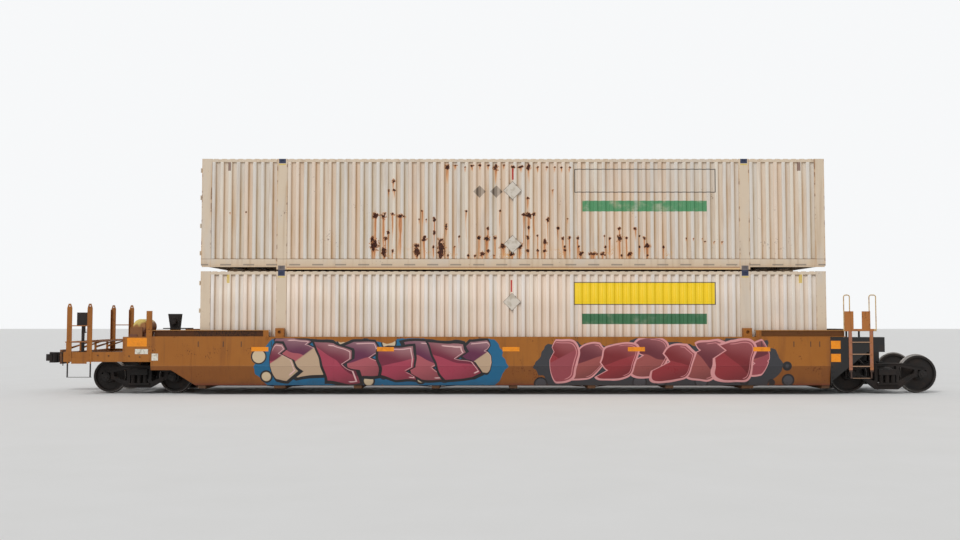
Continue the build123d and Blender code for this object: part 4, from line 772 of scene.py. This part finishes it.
RUST_SPOTS = (
    # half width, half height and length of the run below in metres, height in the picture, places across it
    (0.042, 0.024, 0.10, 164.5, (455, 472, 480, 488, 504)),
    (0.034, 0.024, 0.10, 167.0, (465, 538, 547, 555, 562, 570)),
    (0.055, 0.070, 0.30, 166.5, (447, 496, 529)),
    (0.060, 0.032, 0.10, 165.7, (513, 521)),
    (0.030, 0.030, 0.15, 190.0, (388, 393, 394, 553)),
    (0.042, 0.048, 0.40, 180.5, (393,)),
    (0.038, 0.038, 0.40, 198.2, (528,)),
    (0.028, 0.028, 0.60, 210.5, (422, 500, 466)),
    (0.062, 0.075, 0.80, 215.5, (375, 383, 529)),
    (0.095, 0.045, 0.90, 215.5, (400,)),
    (0.045, 0.035, 0.60, 214.0, (392, 524, 534)),
    (0.022, 0.022, 0.10, 219.0, (419, 426, 568)),
    (0.036, 0.058, 0.50, 219.5, (434, 548)),
    (0.034, 0.080, 0.20, 226.5, (446,)),
    (0.036, 0.042, 0.25, 228.0, (488, 529, 558, 620, 636)),
    (0.034, 0.050, 0.50, 232.5, (388, 434)),
    (0.022, 0.022, 0.30, 236.0, (459, 538, 605, 640)),
    (0.062, 0.070, 0.60, 238.0, (424, 487, 620)),
    (0.042, 0.052, 0.50, 237.8, (372, 385, 479, 495, 528)),
    (0.034, 0.040, 0.50, 238.0, (563, 570, 578, 610, 627, 645)),
    (0.020, 0.020, 0.05, 238.5, (687, 694, 703)),
    (0.022, 0.018, 0.05, 241.4, (706, 723, 715)),
    (0.088, 0.140, 0.50, 244.5, (374,)),
    (0.052, 0.060, 0.50, 241.5, (545,)),
    (0.070, 0.062, 0.35, 246.0, (416, 503, 520, 648)),
    (0.092, 0.230, 0.30, 249.0, (441,)),
    (0.030, 0.034, 0.30, 247.0, (433, 454, 565, 579, 606, 640, 664)),
    (0.066, 0.110, 0.30, 251.5, (384, 417)),
    (0.036, 0.036, 0.30, 250.5, (392, 488, 528, 545, 538, 565)),
    (0.058, 0.050, 0.20, 254.0, (482, 512, 581, 603, 630)),
    (0.110, 0.040, 0.20, 253.8, (593,)),
    (0.030, 0.030, 0.15, 255.5, (448, 468, 475, 494, 622, 648)),
    (0.016, 0.016, 0.05, 212.4, (229, 209, 245)),
)


def on_wall(column, row):
    """Metres along the car and above the rail for a place in the 960 by 540 picture."""
    return EYE[0] + (column - PICTURE_X) / PICTURE_SCALE, EYE[2] - (row - PICTURE_Z) / PICTURE_SCALE


def wall_field(columns, rows, spots):
    """How near each point of a wall lies to a rust spot, and how far down a run below one."""
    rust, run = {}, {}
    for x, z, wide, tall, bleed in spots:
        for i, (place, _, _) in enumerate(columns):
            aside = abs(place - x) / wide
            if aside > 2:
                continue
            for j, height in enumerate(rows):
                away = math.hypot(aside, (height - z) / tall)
                if away < 2:
                    rust[i, j] = max(rust.get((i, j), 0.0), 1 - away / 2)
                drop = (z - height) / (1.5 * bleed)
                if 0 < drop < 1 and aside < 0.85:
                    run[i, j] = max(run.get((i, j), 0.0), (1 - aside) * (1 - drop) ** 0.6)
    return rust, run


def ribs(x0, x1):
    """How many whole ribs fit a panel, and their pitch."""
    count = round((x1 - x0) / RIB_PITCH)
    return count, (x1 - x0) / count


def container_wall(name, node, material, bands, spots):
    """One pressed wall, with its rows in bands: up to this height above its foot, in so many steps."""
    low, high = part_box(node)
    side = -1 if low.y < 0 else 1
    verts, faces, smooth, rusts, runs, stains_and_shade, tints = [], [], [], [], [], [], []
    rows = [low.z]
    for height, steps in bands:
        foot = rows[-1]
        rows += [foot + (low.z + height - foot) * (j + 1) / steps for j in range(steps)]
    last = len(rows) - 1
    for x0, x1 in PANELS:
        count, pitch = ribs(x0, x1)
        columns = [(x0 + (i + share) * pitch, depth, stain)
                   for i in range(count) for share, depth, stain in RIB]
        columns.append((x1, 0.5, 0.5))
        rust, run = wall_field(columns, rows, spots)
        first = len(verts)
        wide = len(columns)
        for j, z in enumerate(rows):
            for i, (x, depth, stain) in enumerate(columns):
                edge = min(1.0, 0.4 * min(i, wide - 1 - i, j, last - j)) if last > 9 else 0.0
                dent = 0.004 * edge * noise.noise(Vector((x * 1.1, side * 3.0, z * 0.9)))
                verts.append((x, side * (WALL_OUT - RIB_DEEP * depth - abs(dent)), z))
                rusts.append(rust.get((i, j), 0.0))
                runs.append(run.get((i, j), 0.0))
                stains_and_shade.append(stain)
                tints.append(0.5 + noise.noise(Vector((i // len(RIB) * 3.7, side * x0, 0.5))))
        for j in range(last):
            for i in range(wide - 1):
                a = first + j * wide + i
                faces.append((a, a + 1, a + wide + 1, a + wide))
        smooth += [True] * (last * (wide - 1))
        back = len(verts)
        verts += [(x, side * WALL_IN, z) for x, z in ((x0, low.z), (x1, low.z), (x1, high.z), (x0, high.z))]
        for values in (rusts, runs, stains_and_shade, tints):
            values += [0.0] * 4
        bottom = [first + i for i in range(wide)]
        top = [first + last * wide + i for i in range(wide)]
        left = [first + j * wide for j in range(last + 1)]
        right = [first + j * wide + wide - 1 for j in range(last + 1)]
        faces += [tuple(bottom + [back + 1, back]), tuple(top + [back + 2, back + 3]),
                  tuple(left + [back + 3, back]), tuple(right + [back + 2, back + 1]),
                  (back, back + 1, back + 2, back + 3)]
        smooth += [False] * 5
    made = mesh_piece(name, verts, faces, material, "well_car")
    made.data.polygons.foreach_set("use_smooth", smooth)
    for label, values in (("rust", rusts), ("run", runs), ("stain", stains_and_shade), ("tint", tints)):
        made.data.attributes.new(label, "FLOAT", "POINT").data.foreach_set("value", values)
    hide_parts(node)


BOXES = {
    "lower": {"ridge": colour(232, 219, 203), "cool": colour(228, 218, 209), "warm": colour(235, 216, 199),
              "valley": colour(206, 178, 150), "stain": 0.3, "slot": "box_white",
              "sign": colour(240, 202, 16), "sign_worn": 0.0, "sign_at": (1.566, 5.232, 2.276, 2.869),
              "band": colour(14, 100, 58), "band_at": (1.773, 5.0, 1.78, 2.05),
              "tag": colour(206, 172, 52), "tag_at": (2.84, 3.10), "stripe_at": (-0.047, 2.611, 2.921)},
    "upper": {"ridge": colour(228, 217, 201), "cool": colour(222, 214, 204), "warm": colour(230, 211, 192),
              "valley": colour(196, 156, 112), "stain": 0.8, "slot": "box_upper",
              "sign": colour(212, 202, 190), "sign_worn": 0.75, "sign_at": (1.592, 5.258, 5.192, 5.812),
              "band": colour(66, 140, 92), "band_at": (1.799, 5.025, 4.70, 4.98),
              "tag": colour(106, 62, 48), "tag_at": (5.76, 5.99), "stripe_at": (-0.008, 5.528, 5.822)},
}
SIGN_RED = colour(178, 44, 36)
TAG_X = (-7.37, 7.426)
SMALL_DIAMONDS = ((-0.873, 5.218), (-0.434, 5.218))
SMALL_REACH = 0.168


def box_base(coat, tones, ridge):
    """Off-white paint gone chalky in places, with thin runs of dirt and a little surface rust."""
    chalk = coat.rise(coat.noise(1.7, 3, (1, 0.3, 0.3), 9.0), 0.5, 0.7)
    runs = coat.rise(coat.noise(9.0, 3, (1, 1, 0.07), 3.0), 0.5, 0.75)
    tone = coat.over(ridge, colour(204, 197, 189), chalk * 0.4)
    tone = coat.over(tone, colour(168, 132, 94), runs * 0.4 * tones["stain"])
    specks = coat.rise(coat.noise(26.0, 2, shift=6.0) * coat.noise(2.0, 3, shift=15.0), 0.43, 0.48)
    return coat.over(tone, RUST, specks * tones["stain"] * 0.8), runs


def wall_paint(name, tones):
    coat = Finish(name)
    outside = coat.rise(abs(coat.y), 1.2495, 1.2515)
    x0, x1, z0, z1 = tones["sign_at"]
    tint, stain = coat.painted("tint"), coat.painted("stain")
    ridge = coat.over(tones["ridge"], tones["cool"], coat.rise(tint, 0.52, 0.7))
    ridge = coat.over(ridge, tones["warm"], coat.rise(tint, 0.48, 0.3))
    tone, runs = box_base(coat, tones, ridge)
    deepest = coat.over(tones["valley"], colour(182, 166, 126), coat.rise(tint, 0.6, 0.85) * 0.5)
    below = coat.rise(coat.z + coat.noise(0.7, 2, (1, 0, 1)) * 0.8, z1 + 0.9, z1 - 0.2)
    uneven = coat.rise(coat.noise(1.3, 3, (3, 0, 0.5), 6.0), 0.3, 0.75)
    # Stain with painted shade: the valley and the slope facing +x turn tan, and a brown shade line runs down
    # that slope.
    tone = coat.over(tone, deepest, stain * (0.35 + below * 0.25 + uneven * 0.4) * outside)
    shade_line = coat.rise(stain, 0.9, 1.0)
    tone = coat.over(tone, colour(150, 104, 66), shade_line * outside * (0.14 + uneven * 0.3))
    edge = 0.022
    sign = coat.patch(x0, x1, z0, z1) * outside
    inner = coat.patch(x0 + edge, x1 - edge, z0 + edge, z1 - edge)
    blank = coat.over(tones["sign"], tone, tones["sign_worn"])
    tone = coat.over(tone, colour(34, 30, 28), sign * 0.9)
    tone = coat.over(tone, blank, sign * inner)
    flaked = coat.rise(coat.noise(3.0, 4, (1, 0, 1), 18.0), 0.5, 0.75) * tones["stain"] * 0.6
    tone = coat.over(tone, tones["band"], coat.patch(*tones["band_at"]) * outside * (0.95 - flaked))
    for x in TAG_X:
        tag = coat.patch(x - 0.04, x + 0.04, *tones["tag_at"])
        tone = coat.over(tone, tones["tag"], tag * outside * 0.8)
    if tones["sign_worn"]:
        for x, z in SMALL_DIAMONDS:
            diamond = coat.rise(abs(coat.x - x) + abs(coat.z - z), SMALL_REACH, SMALL_REACH - 0.012)
            tone = coat.over(tone, colour(92, 78, 64), diamond * outside * (0.5 + stain * 0.5))
    ragged = (coat.noise(14.0, 4, rough=0.7) - 0.5) * 1.9 + (coat.noise(60.0, 2, shift=4.0) - 0.5) * 0.35
    foot = tones["foot"]
    crumbs = coat.noise(38.0, 2, shift=33.0) * coat.noise(3.0, 3, (1, 0, 1), 41.0)
    crumbs = coat.rise(crumbs, 0.31, 0.36) * coat.rise(coat.z, foot + 0.42, foot + 0.1)
    crumbs = crumbs * coat.within(coat.x, -3.4, 4.2, 0.3) * outside
    tone = coat.over(tone, colour(214, 150, 58), crumbs * tones["stain"])
    rust = coat.painted("rust")
    near_rust = coat.rise(rust, 0.02, 0.12)
    spot = coat.rise(rust + ragged, 0.50, 0.56) * near_rust
    bloom = coat.rise(rust + ragged, 0.22, 0.52) * near_rust
    streak = (coat.noise(40.0, 3, (1, 1, 0.05)) - 0.5) * 1.6
    run = coat.painted("run")
    trail = coat.rise(run + streak, 0.1, 0.7) * coat.rise(run, 0.0, 0.12)
    tone = coat.over(tone, colour(218, 152, 88), (bloom | trail) * 0.85)
    deep_trail = coat.rise(run + streak, 0.35, 0.85) * coat.rise(run, 0.2, 0.5)
    tone = coat.over(tone, colour(164, 88, 42), deep_trail * 0.65)
    tone = coat.over(tone, colour(140, 74, 34), bloom * coat.rise(rust + ragged, 0.4, 0.5) * 0.7)
    pitted = coat.rise(coat.noise(30.0, 2, shift=8.0), 0.42, 0.6)
    tone = coat.over(tone, coat.over(colour(78, 38, 22), colour(38, 24, 18), pitted), spot)
    x, z0, z1 = tones["stripe_at"]
    tone = coat.over(tone, SIGN_RED, coat.patch(x - 0.022, x + 0.022, z0, z1) * outside)
    rough = 0.48 + runs * 0.2 + spot * 0.4
    return coat.finished(tone, rough, height=coat.noise(3.0, 2) - spot * 0.25, deep=0.004)


for tier, tones in BOXES.items():
    spots = []
    if tier == "upper":
        for wide, tall, bleed, row, columns in RUST_SPOTS:
            for x, z in (on_wall(column, row) for column in columns):
                spots.append((x, z + 0.02 * noise.noise(Vector((x * 7.0, 0.5, z))), wide, tall, bleed))
    tones["foot"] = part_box(f"{tier}_side_near")[0].z
    paint = wall_paint(f"{tier}_wall_paint", tones)
    bands = FINE_ROWS if spots else PLAIN_ROWS
    container_wall(f"{tier}_wall_near", f"{tier}_side_near", paint, bands, spots)
    container_wall(f"{tier}_wall_far", f"{tier}_side_far", paint, PLAIN_ROWS, [])


# Container frames, roofs, floors and ends: posts, rails and sheet in the same paint, chipped to rust along
# the edges of the posts, with dark blue fittings at the 40-ft posts and dashes of wear along the bottom rail.
# Doors hang in rubber gaskets, held by lock rods with cams in keepers. The floor is oiled hardwood.
POST_EDGES = (-8.07, -7.83, -6.12, -5.865, 5.865, 6.12, 7.83, 8.07)
POST_TONE = colour(217, 197, 172)
RAIL_TOP = 2.869
DASH_PITCH = 0.595
DRIP_EDGES = ((-8.055, -6.1275), (6.1275, 8.055))


def frame_paint(name, tones, base):
    coat = Finish(name)
    tone, runs = box_base(coat, tones, POST_TONE)
    chips = 0.0
    for x in POST_EDGES:
        chips = coat.within(coat.x, x - 0.012, x + 0.012, 0.016) | chips
    chips = chips * coat.rise(abs(coat.y), 1.27, 1.28)
    worn = coat.rise(coat.noise(3.0, 3, (1, 1, 0.4), 22.0), 0.42, 0.6)
    tone = coat.over(tone, colour(206, 158, 104), chips * worn * tones["stain"] * 0.8)
    chips = chips * coat.rise(coat.noise(9.0, 4, (1, 1, 0.7), 12.0), 0.54, 0.62)
    tone = coat.over(tone, colour(120, 68, 38), chips * tones["stain"])
    low_rail = coat.rise(coat.z, base + 0.30, base + 0.02)
    tone = coat.over(tone, colour(196, 162, 122), low_rail * (0.3 + coat.noise(1.4, 3, (1, 0, 0)) * 0.4))
    # Painted shadow with dirt: a dark line along the top of the bottom rail, under the wall's foot.
    ledge_shadow_and_dirt = coat.within(coat.z, base + 0.281, base + 0.295)
    tone = coat.over(tone, colour(120, 88, 62), ledge_shadow_and_dirt * (0.45 + 0.35 * coat.noise(2.0, 3, (1, 0, 0), 5.0)))
    dash = coat.within((coat.x / DASH_PITCH).fract(), 0.26, 0.74, 0.01)
    dash = dash * coat.within(coat.z, base + 0.12, base + 0.158)
    tone = coat.over(tone, colour(118, 108, 100), dash * 0.7)
    middle = coat.rise(abs(coat.x), 5.87, 5.85)
    seam = coat.within(coat.z, base + 0.062, base + 0.084)
    tone = coat.over(tone, colour(140, 78, 44), seam * middle * (0.35 + tones["stain"] * 0.5))
    lowest = coat.rise(coat.z, base + 0.06, base + 0.05) * middle
    tone = coat.over(tone, colour(226, 184, 126), lowest * tones["stain"])
    at_post = coat.within(abs(coat.x), 5.9035, 6.0815, 0.001)
    tone = coat.over(tone, colour(44, 52, 78), at_post * coat.rise(coat.z, base + 2.776, base + 2.779))
    yellow_mark = at_post * coat.within(coat.z, base + 2.735, base + 2.765)
    tone = coat.over(tone, colour(214, 184, 70), yellow_mark * 0.8)
    tone = coat.over(tone, colour(58, 62, 80), at_post * coat.rise(coat.z, base + 0.119, base + 0.117) * 0.8)
    rough = 0.5 + runs * 0.2 + chips * 0.3
    return coat.finished(tone, rough, height=coat.noise(3.0, 2) - chips * 0.3, deep=0.004)


def roof_paint(name, tones):
    coat = Finish(name)
    tone, runs = box_base(coat, tones, tones["ridge"])
    dusty = coat.rise(coat.noise(1.1, 4, (1, 1, 0), 14.0), 0.35, 0.7)
    tone = coat.over(tone, colour(170, 160, 144), dusty * 0.6)
    return coat.finished(tone, 0.6 + dusty * 0.2, height=coat.noise(2.0, 3), deep=0.006)


def rail_edges(tier, base, material):
    """The roof sheet's turned edge and rib ends along the top rails, and drip edges under the end rails."""
    top = base + RAIL_TOP
    limits = []
    for side in (-1, 1):
        y0, y1 = sorted((side * 1.283, side * 1.2935))
        for x0, x1 in PANELS:
            count, pitch = ribs(x0, x1)
            limits.append((x0, x1, y0, y1, top, top + 0.014))
            limits += [(x0 + (i + 0.2) * pitch, x0 + (i + 0.8) * pitch, y0, y1, top + 0.014, top + 0.026)
                       for i in range(count)]
        limits += [(x0, x1, y0, y1, base + 0.079, base + 0.116) for x0, x1 in DRIP_EDGES]
    slabs(f"{tier}_rail_edges", limits, material, "well_car")


PLANK_WIDTH = 0.145
planks = Finish("oiled_floor_planks")
grain = planks.noise(30.0, 4, (0.04, 1, 1))
plank = planks.y / PLANK_WIDTH
board = planks.node("ShaderNodeTexWhiteNoise", {"noise_dimensions": "1D"}, {"W": plank.floor()})
gap = planks.rise(abs(plank.fract() - 0.5), 0.475, 0.49)
plank_tone = planks.over(colour(126, 92, 62), colour(92, 64, 42), grain * 0.6 + board * 0.4)
plank_tone = planks.over(plank_tone, colour(30, 24, 20), gap)
plank_finish = planks.finished(plank_tone, 0.6, height=grain * 0.3 - gap, deep=0.003)

rubber = Finish("gasket_rubber")
perished = rubber.rise(rubber.noise(9.0, 4), 0.5, 0.75)
rubber_tone = rubber.over(colour(34, 34, 36), colour(70, 68, 66), perished * 0.6)
gasket_rubber = rubber.finished(rubber_tone, 0.7, height=rubber.noise(30.0, 2), deep=0.001)

zinc = Finish("galvanised_hardware")
spangle = zinc.node("ShaderNodeTexVoronoi", None, {"Vector": zinc.place, "Scale": 60.0})
zinc_tone = zinc.over(colour(168, 168, 164), colour(140, 140, 138), spangle)
zinc_tone = zinc.over(zinc_tone, RUST, zinc.rise(zinc.noise(14.0, 4), 0.6, 0.7) * 0.7)
door_hardware = zinc.finished(zinc_tone, 0.5, 0.6, height=spangle, deep=0.0005)


LEAF_FACE = -8.057
LEAF_Y = (0.008, 1.1695)
ROD_Y = [LEAF_Y[0] + share * (LEAF_Y[1] - LEAF_Y[0]) for share in (0.3, 0.78)]
GASKET = 0.028


def door_fittings(tier, side, body, slot):
    """Gasket strips round a leaf, a plate behind each lock rod near its ends, and its brackets' bolts."""
    low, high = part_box(f"{tier}_door_{side}")
    sign = -1 if side == "near" else 1
    inner, outer = LEAF_Y

    def strip(y0, y1, z0, z1, thick):
        return (LEAF_FACE - thick, LEAF_FACE, *sorted((sign * y0, sign * y1)), z0, z1)

    strips = [strip(inner, outer, z, z + GASKET, 0.006) for z in (low.z, high.z - GASKET)]
    strips += [strip(y, y + GASKET, low.z, high.z, 0.006) for y in (inner, outer - GASKET)]
    slabs(f"{tier}_door_gasket_{side}", strips, gasket_rubber, body)
    rod_plates = [strip(y - 0.06, y + 0.06, z, z + 0.09, 0.004)
                  for y in ROD_Y for z in (low.z + 0.35, high.z - 0.35)]
    slabs(f"{tier}_door_rod_plates_{side}", rod_plates, door_hardware, body)
    spots = [(LEAF_FACE - 0.0365, sign * (y + dy), low.z + level * (high.z - low.z) + dz)
             for y in ROD_Y for level in (0.08, 0.36, 0.64, 0.92)
             for dy in (-0.033, 0.033) for dz in (-0.018, 0.018)]
    bolts(f"{tier}_door_bracket_bolts_{side}", spots, "left", 0.007, 0.005, door_hardware, body, slot)


def rod_keepers(tier):
    """Cam keepers on the door sill and header, where the ends of the lock rods catch."""
    low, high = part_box(f"{tier}_door_near")
    limits = []
    for y in (side * rod_y for side in (-1, 1) for rod_y in ROD_Y):
        for z0, z1 in ((low.z - 0.075, low.z - 0.012), (high.z + 0.012, high.z + 0.075)):
            limits.append((-8.089, -8.077, y - 0.05, y + 0.05, z0, z1))
            limits += [(-8.104, -8.089, jaw, jaw + 0.02, z0, z1) for jaw in (y - 0.05, y + 0.03)]
    slabs(f"{tier}_rod_keepers", limits, door_hardware, "well_car")


for tier, tones in BOXES.items():
    base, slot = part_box(f"{tier}_frame")[0].z, tones["slot"]
    steel = frame_paint(f"{tier}_frame_paint", tones, base)
    dress([f"{tier}_frame"], steel)
    rail_edges(tier, base, steel)
    ends = frame_paint(f"{tier}_end_paint", tones, base)
    dress([f"{tier}_{part}" for part in ("front", "door_far", "door_near")], ends)
    dress([f"{tier}_roof"], roof_paint(f"{tier}_roof_paint", tones))
    dress([f"{tier}_floor"], plank_finish)
    for side in ("near", "far"):
        body = f"upper_door_{side}" if tier == "upper" else "well_car"
        door_fittings(tier, side, body, slot)
    rod_keepers(tier)


# Placard holders: blank pale diamonds clipped to the middle of each wall, smudged with dirt.
# Each is a thin plate set on its corner, standing just off the ribs on a slightly larger dark one.
placard_plate = smudged("placard_plate", colour(214, 204, 190), colour(188, 176, 158),
                        (9.0, 4), (0.45, 0.7))
placard_edge = smudged("placard_edge", colour(158, 146, 132), colour(78, 56, 44),
                       (16.0, 3), (0.5, 0.62), 0.55)

PLACARDS = {
    # x, z and half the diagonal, in metres
    "lower": [(-0.034, 2.353, 0.225)],
    "upper": [(-0.016, 5.244, 0.235), (-0.016, 3.85, 0.225)],
}
CORNERS = ((-1, 0), (0, -1), (1, 0), (0, 1))
CLIPS = ((0.4, 0.6), (0.85, -0.15), (0.0, -1.0))


def diamonds(name, spots, grow, y0, y1, material):
    """Plates set on their corners, one for each (x, z, half diagonal), with each half grown by so much."""
    outlines = [([(x + dx * (half + grow), z + dz * (half + grow)) for dx, dz in CORNERS], y0, y1)
                for x, z, half in spots]
    plates(name, outlines, material, "well_car")


for tier, tones in BOXES.items():
    slot, placards = tones["slot"], PLACARDS[tier]
    for side, sign in (("near", -1), ("far", 1)):
        foot, rim, top, clip = (sign * (WALL_OUT + proud) for proud in (0.0, 0.003, 0.005, 0.008))
        diamonds(f"{tier}_placard_edges_{side}", placards, 0.006, foot, rim, placard_edge)
        diamonds(f"{tier}_placards_{side}", placards, -0.008, rim, top, placard_plate)
        clips = [(x + dx * half - 0.014, x + dx * half + 0.014, *sorted((foot, clip)),
                  z + dz * half - 0.02, z + dz * half + 0.02)
                 for x, z, half in placards for dx, dz in CLIPS]
        slabs(f"{tier}_placard_clips_{side}", clips, placard_edge, "well_car")
